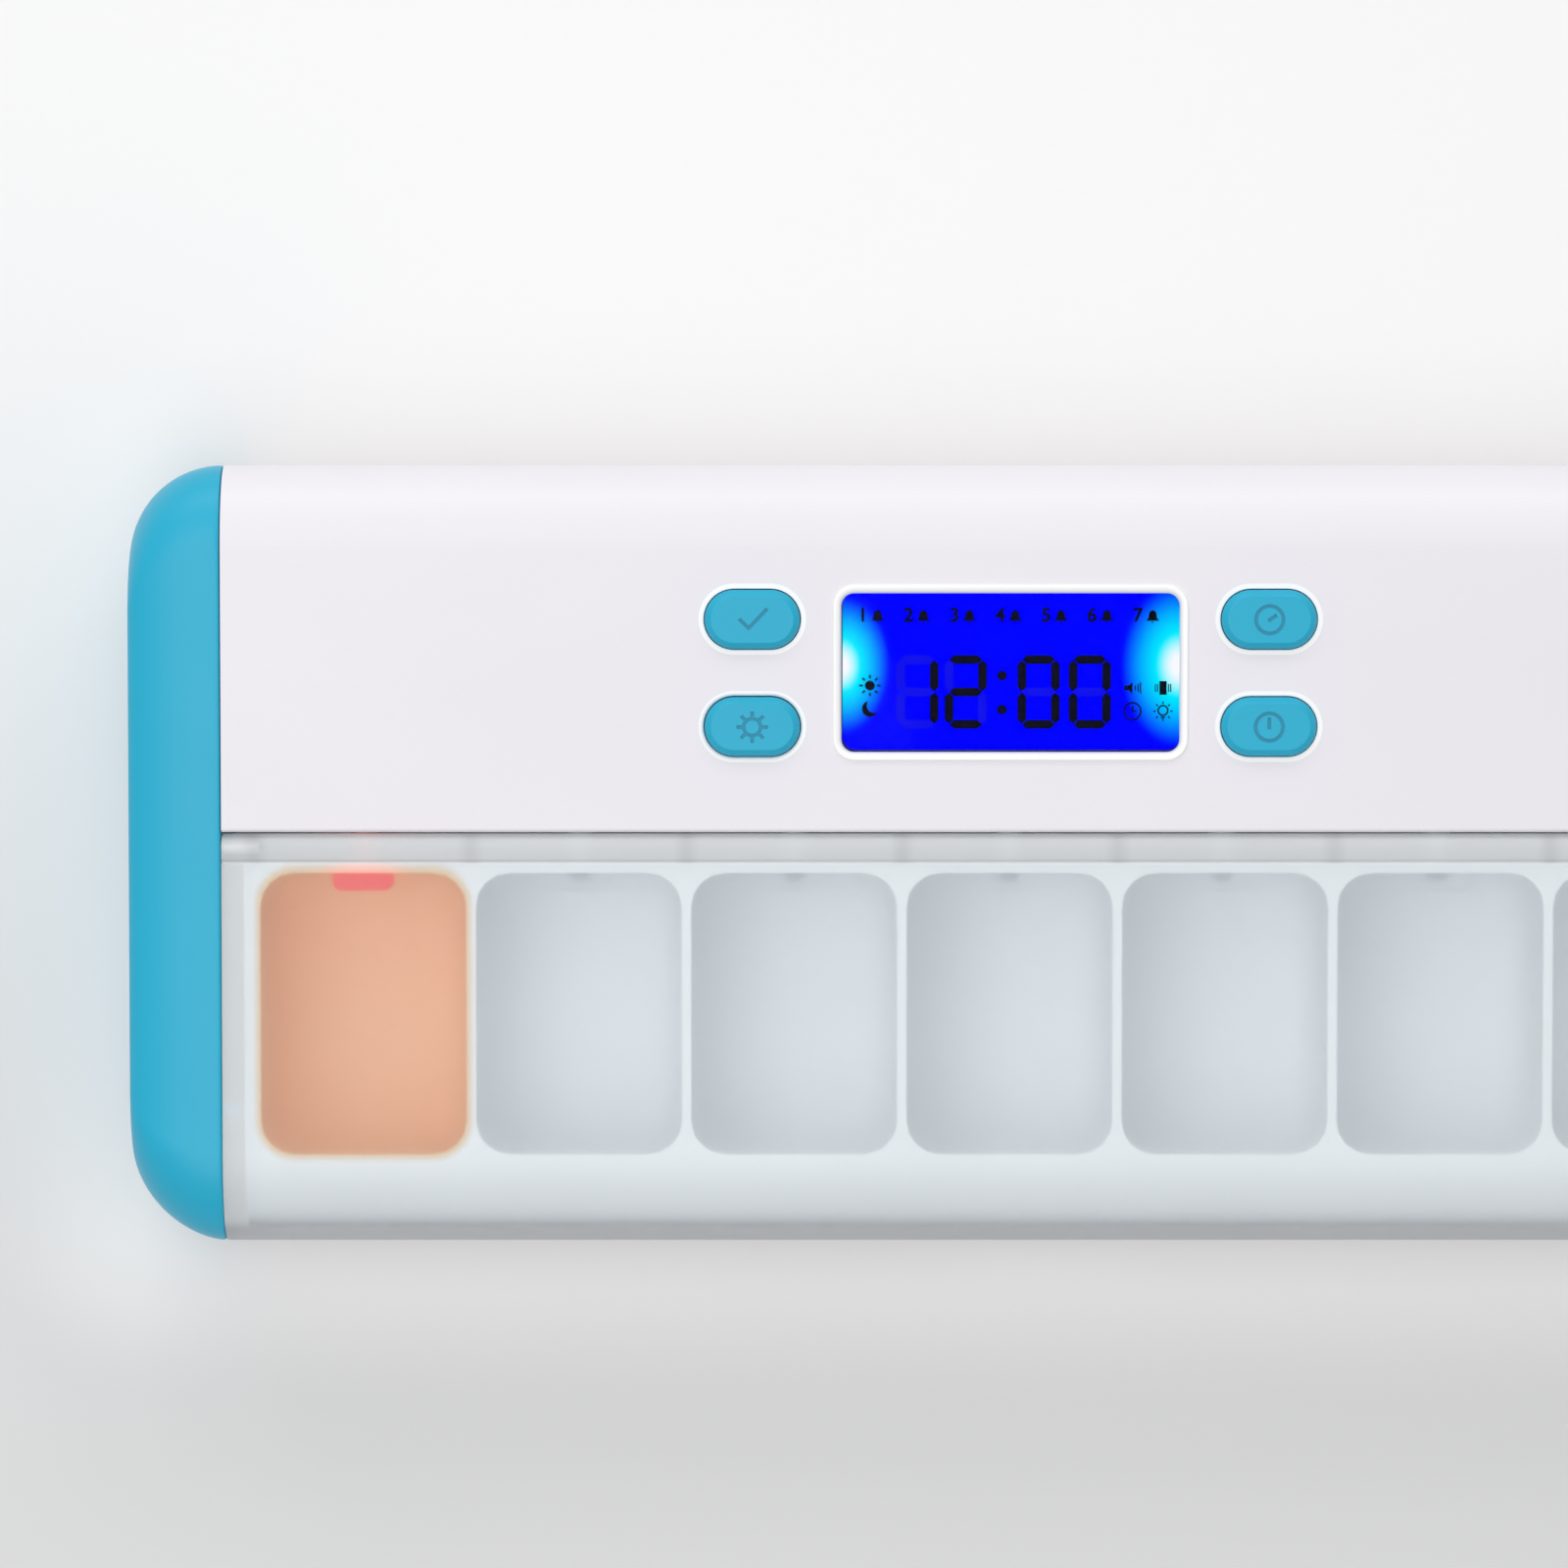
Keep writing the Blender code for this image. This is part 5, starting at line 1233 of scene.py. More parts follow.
@dataclass
class TopCover:
    """The white cover: sloped face, rounded back, raised rim round the display, four flared key holes."""

    case: CaseShape
    layout: FaceLayout
    window_lip: float = 0.75 * MM
    window_rise: float = 0.3 * MM
    rim_depth: float = 1.0 * MM
    lens_margin: float = 1.2 * MM
    key_lip: float = 0.5 * MM
    front_radius: float = 0.5 * MM
    lip: float = 5.0 * MM
    seam_radius: float = 0.3 * MM
    posts: tuple[Pair, ...] = ((56 * MM, 10.4 * MM), (56 * MM, 39.4 * MM))
    post_radius: float = 2.6 * MM
    post_foot: float = 6.3 * MM
    pilot_radius: float = 1.1 * MM
    pilot_depth: float = 8.0 * MM
    board_posts: tuple[Pair, ...] = ((-44.5 * MM, 13 * MM), (44.5 * MM, -13 * MM))
    board_post_radius: float = 2.4 * MM
    board_depth: float = 9.3 * MM
    board_pilot: float = 4.5 * MM

    def shell(self) -> Form:
        """The open shell between the end caps.

        Returns:
            The form, its seam edges rounded.
        """
        case, wall = self.case, self.case.shell
        front = case.hinge_y + case.barrel * (1 + math.sin(case.slope)) + case.hinge_gap
        lip_z = case.face_z(front) - self.lip
        foot_z = case.parting + case.gap
        outline = Outline().to(front, lip_z)
        centre = (front + self.front_radius, case.face_z(front + self.front_radius) - self.front_radius)
        outline.arc(centre, (self.front_radius, self.front_radius), math.pi, -math.pi / 2, steps=6)
        case.upper_edge(outline, 1)
        outline.to(case.half_depth, foot_z).to(case.half_depth - wall, foot_z)
        case.upper_edge(outline, 1, wall, outward=False)
        outline.to(front + wall, case.face_z(front + wall, wall)).to(front + wall, lip_z)
        shell = outline.fill().prism(-case.body_end, case.body_end)
        return shell.round(lambda e: case.is_end(e, case.body_end), self.seam_radius, 3)

    def window_rim(self) -> Form:
        """The low raised rim round the display, in the face's own frame.

        Returns:
            The form.
        """
        width = self.layout.window_rim
        half = [span / 2 + width for span in self.layout.window]
        rim = Form.slab(half, -self.rim_depth / 2, self.window_rise, self.layout.window_radius + width)
        return rim.round(lambda e: all(v.co.z > 0 for v in e.verts), self.window_rise * 0.9, 3)

    def build(self, finish: Material) -> None:
        """Builds the cover.

        Args:
            finish: White plastic.
        """
        case, deep, over = self.case, self.case.shell, self.case.overrun
        cover = self.shell()
        posts, pilots = [], []
        for x, y in [(side * x, y) for side in (-1, 1) for x, y in self.posts]:
            height = case.face_z(y, deep * 0.75) - self.post_foot
            posts.append(Form.rod(self.post_radius, (x, y, self.post_foot), height))
            base, depth = (x, y, self.post_foot - over), self.pilot_depth + over
            pilots.append(Form.rod(self.pilot_radius, base, depth, steps=20))
        for x, y in self.board_posts:
            foot = case.gap - self.board_depth
            posts.append(Form.rod(self.board_post_radius, (x, y, foot), -foot - deep / 2).move(case.face))
            base, depth = (x, y, foot - over), self.board_pilot + over
            pilots.append(Form.rod(self.pilot_radius, base, depth, steps=20).move(case.face))
        cover.weld(self.window_rim().move(case.face), *posts)
        layout = self.layout
        pocket = [span / 2 + self.lens_margin + case.gap for span in layout.window]
        cuts = [Form.slab(pocket, -deep - over, -self.rim_depth, layout.window_radius + case.gap)]
        half = [span / 2 for span in layout.window]
        cuts.append(Form.slab(half, -deep, over, layout.window_radius, 8))
        key = [span / 2 + case.seam_gap for span in layout.key_size]
        for x, y in layout.key_places().values():
            cuts.append(Form.slab(key, -deep - over, over, key[1] - HAIR, 12).shift(x, y))
        cover.carve(*pilots, *[cutter.move(case.face) for cutter in cuts])
        self.round_lips(cover)
        cover.piece("case_top_cover", finish, "white_shell", ["top_cover"])

    def round_lips(self, cover: Form) -> None:
        """Rounds the mouths of the window and the key holes.

        Args:
            cover: The carved cover.
        """
        flat = self.case.face.inverted()
        seat = 0.02 * MM

        def around(edge: bmesh.types.BMEdge, centre: Pair, half: Sequence[float], level: float) -> bool:
            """Whether an edge belongs to the mouth of one opening, at a level over the face."""
            spots = [flat @ vert.co - Vector((*centre, level)) for vert in edge.verts]
            return all(abs(p[n]) < reach + seat for p in spots for n, reach in enumerate((*half, 0.0)))

        half = [span / 2 for span in self.layout.window]
        cover.round(lambda e: around(e, (0.0, 0.0), half, self.window_rise), self.window_lip, 4)
        key = [span / 2 + self.case.seam_gap for span in self.layout.key_size]
        for place in self.layout.key_places().values():
            cover.round(lambda e: around(e, place, key, 0.0), self.key_lip, 4)


@dataclass
class Lid:
    """The frosted lid: hinge barrel, groove, flat panel and rounded apron with two hooks."""

    case: CaseShape
    wall: float = 1.8 * MM
    groove_back: float = 1.8 * MM
    groove_width: float = 0.6 * MM
    groove_depth: float = 0.25 * MM
    pin_bore: float = 0.85 * MM
    pin_half: float = 4.6 * MM
    hook_x: float = 45.6 * MM
    hook_width: float = 6.0 * MM
    hook_height: float = 1.4 * MM
    hook_reach: float = 0.3 * MM
    edge_radius: float = 0.35 * MM

    def panel(self) -> Form:
        """The lid's one long section, pulled from end to end.

        Returns:
            The form.
        """
        case = self.case
        pivot = case.hinge
        foot = case.parting + case.gap
        outline = Outline().to(-case.half_depth, foot)
        case.upper_edge(outline, -1, outward=False)
        groove = case.hinge_y - self.groove_back
        half = self.groove_width / 2
        outline.to(groove - half, case.face_z(groove - half))
        outline.to(groove - half / 2, case.face_z(groove, self.groove_depth))
        outline.to(groove + half / 2, case.face_z(groove, self.groove_depth))
        outline.to(groove + half, case.face_z(groove + half))
        start = math.pi / 2 + case.slope
        stop = -math.pi + case.slope + math.asin((self.wall - case.barrel) / case.barrel)
        outline.arc(pivot, (case.barrel, case.barrel), start, stop - start, steps=28)
        case.upper_edge(outline, -1, self.wall)
        outline.to(self.wall - case.half_depth, foot)
        panel = outline.fill().prism(-case.body_end, case.body_end)
        return panel.round(lambda e: case.is_end(e, case.body_end), self.edge_radius, 3)

    def build(self, finish: Material) -> None:
        """Builds the lid.

        Args:
            finish: Frosted plastic.
        """
        case = self.case
        foot = case.parting + case.gap
        inner = self.wall - case.half_depth
        bores, hooks = [], []
        for side in (-1, 1):
            near = side * (case.body_end - self.pin_half)
            start = min(near, side * (case.body_end + case.overrun))
            depth = self.pin_half + case.overrun
            bores.append(Form.rod(self.pin_bore, (start, *case.hinge), depth, Axis.X, 20))
            top, tip, root = foot + self.hook_height, inner + self.hook_reach, inner - self.wall / 2
            hook = Outline().to(root, foot).to(inner, foot)
            hook.to(tip, foot + self.hook_height / 2).to(tip, top).to(root, top)
            middle = side * self.hook_x
            hooks.append(hook.fill().prism(middle - self.hook_width / 2, middle + self.hook_width / 2))
        lid = self.panel().weld(*hooks).carve(*bores)
        lid.piece("frosted_pill_lid", finish, "frosted_lid", ["lid"], "lid")


@dataclass
class EndCap:
    """One rounded blue end: a hollow form on the case's section that closes in towards its end."""

    case: CaseShape
    side: int
    length: float = 11.7 * MM
    wall: float = 1.8 * MM
    corner: float = 11.5 * MM
    crown: float = 4.0 * MM
    back_power: float = 2.0
    front_power: float = 1.75
    rings: int = 22
    rib_shares: tuple[float, ...] = (-0.66, 0.30, 0.72)
    rib_width: float = 1.6 * MM
    rib_reach: float = 6.0 * MM
    nose_reach: float = 2.2 * MM
    nose_drop: float = 1.6 * MM
    tray_inset: float = 2.3 * MM
    pin_half: float = 4.6 * MM
    pin_bore: float = 0.85 * MM
    boss_radius: float = 2.3 * MM
    boss_top: float = 1.0 * MM
    seam_radius: float = 0.35 * MM

    @staticmethod
    def closing(share: float, power: float) -> float:
        """How far the end has rounded in, 0 at the seam and 1 at the end face."""
        return 1 - (1 - min(1.0, share) ** power) ** (1 / power)

    def form(self, inset: float, length: float, lead: float) -> Form:
        """The cap's outer or inner form.

        Args:
            inset: Depth of its section below the outer surface.
            length: How far it reaches from the seam.
            lead: Straight stretch before the seam.

        Returns:
            The closed form.
        """
        case = self.case
        made = case.section(inset).shift(x=self.side * (case.seam - lead))
        bm, root = made.bm, made.bm.faces[:][0]
        face = root
        pivot = Matrix.Translation((0.0, 0.0, case.stand + case.mid_height / 2))
        place, scales = -lead, {1: 1.0, -1: 1.0, 0: 1.0}
        for step in range(0 if lead else 1, self.rings + 1):
            share = math.sin(math.pi / 2 * step / self.rings)
            spent, pulled = face, bmesh.ops.extrude_face_region(bm, geom=[face])["geom"]
            face = next(item for item in pulled if isinstance(item, bmesh.types.BMFace))
            if spent is not root:
                bmesh.ops.delete(bm, geom=[spent], context="FACES_ONLY")
            ring = list(face.verts)
            target = {
                1: 1 - self.closing(share, self.back_power) * self.corner / case.half_depth,
                -1: 1 - self.closing(share, self.front_power) * self.corner / case.half_depth,
                0: 1 - self.closing(share, self.back_power) * self.crown / (case.mid_height / 2),
            }
            for half in (1, -1):
                scale = Matrix.Diagonal((1.0, target[half] / scales[half], target[0] / scales[0], 1.0))
                chosen = [vert for vert in ring if (vert.co.y > 0) == (half > 0)]
                bmesh.ops.transform(bm, matrix=pivot @ scale @ pivot.inverted(), verts=chosen)
            bmesh.ops.translate(bm, verts=ring, vec=(self.side * (length * share - place), 0.0, 0.0))
            place, scales = length * share, target
        bmesh.ops.recalc_face_normals(bm, faces=bm.faces[:])
        return made

    def ribs(self) -> list[Form]:
        """The stiffening ribs, whose noses locate the cap in the open end of the case.

        Returns:
            The ribs' forms.
        """
        case, made = self.case, []
        for share in self.rib_shares:
            y = share * case.half_depth
            bury = self.wall / 2
            low, high = case.stand + self.wall - bury, case.face_z(y, self.wall) + bury
            seat, tip = case.floor_z + case.gap, case.face_z(y) - self.tray_inset - self.nose_drop
            root, end, nose = case.seam + case.gap, case.seam + self.rib_reach, case.seam - self.nose_reach
            rib = Outline().to(root, low).to(end, low).to(end, high).to(root, high).to(root, tip)
            rib.to(nose, tip - self.nose_reach / 2).to(nose, seat + self.nose_reach / 2).to(root, seat)
            turn = Matrix.Rotation(-self.side * math.pi / 2, 4, "Z")
            width = self.rib_width / 2
            made.append(rib.fill().prism(-width, width).move(Matrix.Translation((0.0, y, 0.0)) @ turn))
        return made

    def build(self, finish: Material) -> None:
        """Builds the cap.

        Args:
            finish: Blue plastic.
        """
        case = self.case
        cap = self.form(0.0, self.length, 0.0)
        cap.round(lambda e: case.is_end(e, case.seam), self.seam_radius, 3)
        cap.carve(self.form(self.wall, self.length - self.wall, case.overrun))
        y, z = case.hinge
        start = case.seam if self.side > 0 else -case.seam - self.pin_half - case.gap - case.overrun
        boss = Form.rod(self.boss_radius, (start, y, z + self.boss_top - self.boss_radius),
                        self.pin_half + case.gap + case.overrun, Axis.X)
        start = case.seam - case.overrun if self.side > 0 else -case.seam - self.pin_half
        bore = Form.rod(self.pin_bore, (start, y, z), self.pin_half + case.overrun, Axis.X, 24)
        cap.weld(*self.ribs(), boss).carve(bore)
        name = "left" if self.side < 0 else "right"
        cap.piece(f"{name}_rounded_end", finish, "blue_plastic", [f"{name}_end_cap"])


@dataclass
class Strokes:
    """Flat marks between two levels, drawn round a centre in the face's own frame."""

    low: float
    high: float
    centre: Pair = (0.0, 0.0)
    forms: list[Form] = field(default_factory=list)

    def bar(self, start: Pair, stop: Pair, width: float, pointed: bool = False) -> "Strokes":
        """Draws a straight bar.

        Args:
            start: Its first end.
            stop: Its other end.
            width: Its width.
            pointed: Whether its ends are mitred to points, as a clock segment's are.

        Returns:
            The marks.
        """
        run = Vector(stop) - Vector(start)
        half = run.length / 2
        cut = width * 0.49 if pointed else 0.0
        made = Form.block((-half, -width / 2, self.low), (half, width / 2, self.high), cut, 1)
        middle = (Vector(start) + Vector(stop)) / 2 + Vector(self.centre)
        turn = Matrix.Rotation(math.atan2(run.y, run.x), 4, "Z")
        self.forms.append(made.move(Matrix.Translation((*middle, 0.0)) @ turn))
        return self

    def disc(self, place: Pair, radius: float) -> "Strokes":
        """Draws a full disc.

        Args:
            place: Its middle.
            radius: Its radius.

        Returns:
            The marks.
        """
        x, y = place[0] + self.centre[0], place[1] + self.centre[1]
        self.forms.append(Form.rod(radius, (x, y, self.low), self.high - self.low, steps=24))
        return self

    def ring(self, place: Pair, radius: float, width: float) -> "Strokes":
        """Draws a ring.

        Args:
            place: Its middle.
            radius: Radius of its middle line.
            width: Its width.

        Returns:
            The marks.
        """
        inner, outer = radius - width / 2, radius + width / 2
        rings = [(inner, self.low), (outer, self.low), (outer, self.high), (inner, self.high)]
        base = (place[0] + self.centre[0], place[1] + self.centre[1], 0.0)
        self.forms.append(Form.turned(rings, base, steps=28))
        return self

    def rays(self, radius: float, length: float, width: float, count: int) -> "Strokes":
        """Draws short bars that stand round the centre.

        Args:
            radius: Distance of their inner ends.
            length: Their length.
            width: Their width.
            count: How many there are.

        Returns:
            The marks.
        """
        for number in range(count):
            turn = 2 * math.pi * number / count
            along = (math.cos(turn), math.sin(turn))
            near = (along[0] * radius, along[1] * radius)
            far = (along[0] * (radius + length), along[1] * (radius + length))
            self.bar(near, far, width)
        return self

    def merged(self) -> Form:
        """All the marks in one form, beside each other."""
        first, *rest = self.forms
        return first.add(*rest)


@dataclass
class KeyCap:
    """One key: a chamfered cap, its flange and stem, and a sunk pictogram with a darker layer in it as
    painted shade.
    """

    case: CaseShape
    layout: FaceLayout
    sign: Sign
    proud: float = 1.1 * MM
    chamfer: float = 0.75 * MM
    edge: float = 0.14 * MM
    flange: float = 1.0 * MM
    flange_thickness: float = 0.9 * MM
    stem_radius: float = 1.8 * MM
    stem_foot: float = -4.2 * MM
    stroke: float = 0.44 * MM
    stroke_depth: float = 0.3 * MM
    recess_shade_depth: float = 0.16 * MM
    sign_radius: float = 1.7 * MM

    def marks(self, low: float, high: float) -> list[Form]:
        """The pictogram's strokes in the cap's own frame.

        Args:
            low: Their lowest level.
            high: Their highest level.

        Returns:
            One closed form for each stroke.
        """
        deep = Strokes(low, high)
        radius, stroke = self.sign_radius, self.stroke
        if self.sign is Sign.TICK:
            heel = (-0.25 * radius, -0.62 * radius)
            deep.bar((-0.95 * radius, 0.05 * radius), heel, stroke)
            deep.bar(heel, (1.1 * radius, 0.8 * radius), stroke)
            deep.disc(heel, stroke / 2)
        elif self.sign is Sign.GEAR:
            deep.ring((0.0, 0.0), 0.62 * radius, stroke).rays(0.72 * radius, 0.42 * radius, stroke, 8)
        elif self.sign is Sign.SHORT_HAND:
            tip = 0.5 * radius, 0.34 * radius
            deep.ring((0.0, 0.0), radius, stroke).bar((-0.1 * radius, -0.1 * radius), tip, stroke)
        else:
            deep.ring((0.0, 0.0), radius, stroke).bar((0.0, -0.15 * radius), (0.0, 0.7 * radius), stroke)
        return deep.forms

    def build(self, finish: Material, ink: Material) -> None:
        """Builds the key and the painted shade in its pictogram.

        Args:
            finish: Blue plastic.
            ink: Darker blue, painted shade in the sunk strokes.
        """
        half = [span / 2 for span in self.layout.key_size]
        under = -self.case.shell - self.case.gap
        foot = under - self.flange_thickness
        cap = Form.slab(half, foot + HAIR, self.proud, half[1] - HAIR, 14)
        top = self.proud - HAIR
        cap.round(lambda e: all(v.co.z > top for v in e.verts), self.chamfer, 1).soften(self.edge, 3, 30.0)
        wide = [value + self.flange for value in half]
        flange = Form.slab(wide, foot, under, wide[1] - HAIR, 14)
        stem_height = foot + self.flange_thickness / 2 - self.stem_foot
        stem = Form.rod(self.stem_radius, (0.0, 0.0, self.stem_foot), stem_height)
        floor = self.proud - self.stroke_depth
        cap.weld(flange, stem).carve(*self.marks(floor, self.proud + self.case.overrun))
        seat = self.case.face @ Matrix.Translation((*self.layout.key_places()[self.sign], 0.0))
        name = self.sign.value
        # Painted shade: a darker layer in the sunk strokes.
        first, *rest = self.marks(floor - self.recess_shade_depth / 8, floor + self.recess_shade_depth)
        recess_shade = first.weld(*rest).move(seat)
        recess_shade.piece(f"{name}_key_sign", ink, "blue_plastic", body=f"{name}_key")
        key = f"{name}_key"
        cap.move(seat).piece(f"{name}_key_cap", finish, "blue_plastic", [key], key, 32.0)


@dataclass
class Display:
    """The clear window, the blue-lit crystal below it, and the marks that the crystal shows."""

    case: CaseShape
    layout: FaceLayout
    margin: float = 1.2 * MM
    lens_top: float = -1.3 * MM
    lens_thickness: float = 1.0 * MM
    glass_top: float = -2.6 * MM
    ink_thickness: float = 0.02 * MM
    digit_height: float = 9.1 * MM
    digit_width: float = 4.15 * MM
    digit_y: float = -2.5 * MM
    digit_places: tuple[float, ...] = (-11.5 * MM, -5.5 * MM, 3.55 * MM, 9.9 * MM)
    shown: str = "1200"
    bar_width: float = 1.05 * MM
    shade_shift: float = 0.14 * MM
    shade_thickness: float = 0.1 * MM
    stroke_weight: float = 0.05 * MM
    colon_x: float = -1.0 * MM
    day_y: float = 7.0 * MM
    day_places: tuple[float, ...] = tuple((-18.3 + 5.69 * day) * MM for day in range(7))
    day_height: float = 1.75 * MM
    bell_shift: float = 1.85 * MM

    SEGMENTS = {"0": "abcdef", "1": "bc", "2": "abged"}

    def segment_ends(self, x: float) -> dict[str, tuple[Pair, Pair]]:
        """Both ends of each of a digit's seven bars.

        Args:
            x: The digit's middle.

        Returns:
            The ends, by the bar's letter.
        """
        gap = 0.08 * MM
        half, high, y = self.digit_width / 2, (self.digit_height - self.bar_width) / 2, self.digit_y
        left, right, top, low = x - half, x + half, y + high, y - high
        return {
            "a": ((left + gap, top), (right - gap, top)),
            "b": ((right, y + gap), (right, top - gap)),
            "c": ((right, low + gap), (right, y - gap)),
            "d": ((left + gap, low), (right - gap, low)),
            "e": ((left, low + gap), (left, y - gap)),
            "f": ((left, y + gap), (left, top - gap)),
            "g": ((left + gap, y), (right - gap, y)),
        }

    def time_marks(self) -> tuple[Form, Form]:
        """The lit bars with the colon, and the unlit bars.

        Returns:
            Their two forms.
        """
        low, high = self.glass_top, self.glass_top + self.ink_thickness
        lit, unlit = Strokes(low, high), Strokes(low, high)
        for x, digit in zip(self.digit_places, self.shown):
            for letter, (start, stop) in self.segment_ends(x).items():
                target = lit if letter in self.SEGMENTS[digit] else unlit
                target.bar(start, stop, self.bar_width, pointed=True)
        for rise in (2.05 * MM, -2.2 * MM):
            lit.disc((self.colon_x, self.digit_y + rise), 0.58 * MM)
        return lit.merged(), unlit.merged()

    def bell(self, x: float, y: float) -> list[Form]:
        """A small bell: dome, flared mouth and clapper.

        Args:
            x: Its middle.
            y: Its middle.

        Returns:
            Its flat forms.
        """
        size = self.day_height / 2
        dome = Outline().to(-0.95 * size, -0.62 * size).to(-0.58 * size, -0.2 * size)
        dome.arc((0.0, 0.15 * size), (0.56 * size, 0.72 * size), math.pi, -math.pi, steps=10)
        dome.to(0.58 * size, -0.2 * size).to(0.95 * size, -0.62 * size)
        flat = Matrix(((0, 1, 0, x), (0, 0, 1, y), (1, 0, 0, self.glass_top), (0, 0, 0, 1)))
        clapper = Strokes(self.glass_top, self.glass_top + self.ink_thickness, (x, y))
        clapper.disc((0.0, -0.82 * size), 0.14 * size)
        return [dome.fill().prism(0.0, self.ink_thickness).move(flat), *clapper.forms]

    def number(self, text: str, x: float, y: float, height: float) -> Form:
        """A plain number as a flat form.

        Args:
            text: The number.
            x: Its middle.
            y: Its middle.
            height: Height of its figures.

        Returns:
            The form.
        """
        curve = bpy.data.curves.new("number", "FONT")
        curve.body, curve.size, curve.extrude = text, height / 0.73, self.ink_thickness / 2
        curve.offset = self.stroke_weight
        curve.align_x, curve.align_y = "CENTER", "CENTER"
        holder = add_object("number", curve)
        bpy.context.view_layer.update()
        mesh = bpy.data.meshes.new_from_object(holder.evaluated_get(bpy.context.evaluated_depsgraph_get()))
        made = Form()
        made.bm.from_mesh(mesh)
        bpy.data.objects.remove(holder, do_unlink=True)
        bpy.data.meshes.remove(mesh)
        bmesh.ops.remove_doubles(made.bm, verts=made.bm.verts[:], dist=HAIR)
        return made.shift(x, y, self.glass_top + self.ink_thickness / 2)

    def day_row(self) -> Form:
        """The row of weekday numbers, each with its bell.

        Returns:
            The form.
        """
        row = Form()
        for day, x in enumerate(self.day_places):
            row.add(self.number(str(day + 1), x, self.day_y, self.day_height))
            row.add(*self.bell(x + self.bell_shift, self.day_y - 0.1 * MM))
        return row

    def side_marks(self) -> Form:
        """Sun and moon on the left; sounder, shaker, clock and lamp on the right.

        Returns:
            The form.
        """
        low, high = self.glass_top, self.glass_top + self.ink_thickness

        def at(x: float, y: float) -> Strokes:
            """Starts marks of the ink's thickness round a place given in millimetres."""
            return Strokes(low, high, (x * MM, y * MM))

        sun = at(-17.4, -1.7).disc((0, 0), 0.62 * MM).rays(0.88 * MM, 0.45 * MM, 0.24 * MM, 8)
        moon = Form.rod(1.0 * MM, (-17.4 * MM, -4.6 * MM, low), high - low)
        over = self.case.overrun
        moon.carve(Form.rod(0.9 * MM, (-16.9 * MM, -4.2 * MM, low - over), 2 * over))
        horn = at(15.1, -2.0)
        horn.bar((-0.9 * MM, 0.0), (-0.35 * MM, 0.0), 0.55 * MM)
        mouth = Outline()
        for x, y in ((-0.35, -0.28), (0.1, -0.75), (0.1, 0.75), (-0.35, 0.28)):
            mouth.to(x * MM, y * MM)
        flat = Matrix(((0, 1, 0, 15.1 * MM), (0, 0, 1, -2.0 * MM), (1, 0, 0, low), (0, 0, 0, 1)))
        horn.forms.append(mouth.fill().prism(0.0, self.ink_thickness).move(flat))
        for reach, tall in ((0.45, 0.3), (0.8, 0.5), (1.1, 0.7)):
            horn.bar((reach * MM, -tall * MM), (reach * MM, tall * MM), 0.16 * MM)
        shaker = at(19.0, -2.0).bar((0.0, -0.85 * MM), (0.0, 0.85 * MM), 0.9 * MM)
        for reach in (-0.95, -0.68, 0.68, 0.95):
            shaker.bar((reach * MM, -0.5 * MM), (reach * MM, 0.5 * MM), 0.14 * MM)
        clock = at(15.2, -4.9).ring((0, 0), 1.05 * MM, 0.2 * MM)
        clock.bar((0.0, 0.0), (0.0, 0.65 * MM), 0.18 * MM).bar((0.0, 0.0), (0.5 * MM, 0.0), 0.18 * MM)
        lamp = at(19.0, -4.9).ring((0.0, 0.1 * MM), 0.6 * MM, 0.2 * MM)
        lamp.bar((-0.28 * MM, -0.75 * MM), (0.28 * MM, -0.75 * MM), 0.2 * MM)
        lamp.rays(0.9 * MM, 0.32 * MM, 0.18 * MM, 8)
        return sun.merged().add(moon, horn.merged(), shaker.merged(), clock.merged(), lamp.merged())

    def window_edge_shadow(self) -> Form:
        """Painted shadow below the window: a black ring off its middle, so that it shows on the left and in
        front, where the window's recess casts shade.

        Returns:
            The ring, in the face's own frame.
        """
        top = self.lens_top - self.lens_thickness - self.ink_thickness
        low = top - self.shade_thickness
        outer = [span / 2 + self.margin for span in self.layout.window]
        inner, shift = [span / 2 for span in self.layout.window], self.shade_shift
        radius, over = self.layout.window_radius, self.case.overrun
        hole = Form.slab(inner, low - over, top + over, radius, 8).shift(shift, shift)
        return Form.slab(outer, low, top, radius).carve(hole)

    def build(self, clear: Material, black: Material) -> None:
        """Builds the window and everything the crystal shows.

        Args:
            clear: The window's acrylic.
            black: The black of the painted shadow at the window's edge.
        """
        half = [span / 2 + self.margin for span in self.layout.window]
        low, high = self.lens_top - self.lens_thickness, self.lens_top
        lens = Form.slab(half, low, high, self.layout.window_radius, 8)
        lens.soften(0.12 * MM, 2)
        lens.move(self.case.face).piece("clear_window", clear, "clear_acrylic", ["display_window"])
        self.window_edge_shadow().move(self.case.face).piece("window_border", black, "black_plastic")
        ink = crystal_ink("dark_ink", (0.0, 0.0, 0.003)).material()
        faint = crystal_ink("faint_ink", (0.0, 0.0, 0.86)).material()
        lit, unlit = self.time_marks()
        lit.move(self.case.face).piece("clock_figures", ink, "lcd")
        unlit.move(self.case.face).piece("unlit_clock_bars", faint, "lcd")
        self.day_row().move(self.case.face).piece("weekday_row", ink, "lcd")
        self.side_marks().move(self.case.face).piece("display_icons", ink, "lcd")


@dataclass(frozen=True)
class Softened:
    """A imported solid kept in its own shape, welded, with its sharp edges broken."""

    node: str
    slot: str
    body: str = "housing"
    edge: float = 0.2 * MM
    sharp: float = 40.0

    def build(self, finish: Material) -> None:
        """Builds the piece with its material."""
        form = Form.copy_of(self.node).soften(self.edge, 2, self.sharp)
        form.piece(f"{self.node}_finished", finish, self.slot, [self.node], self.body)


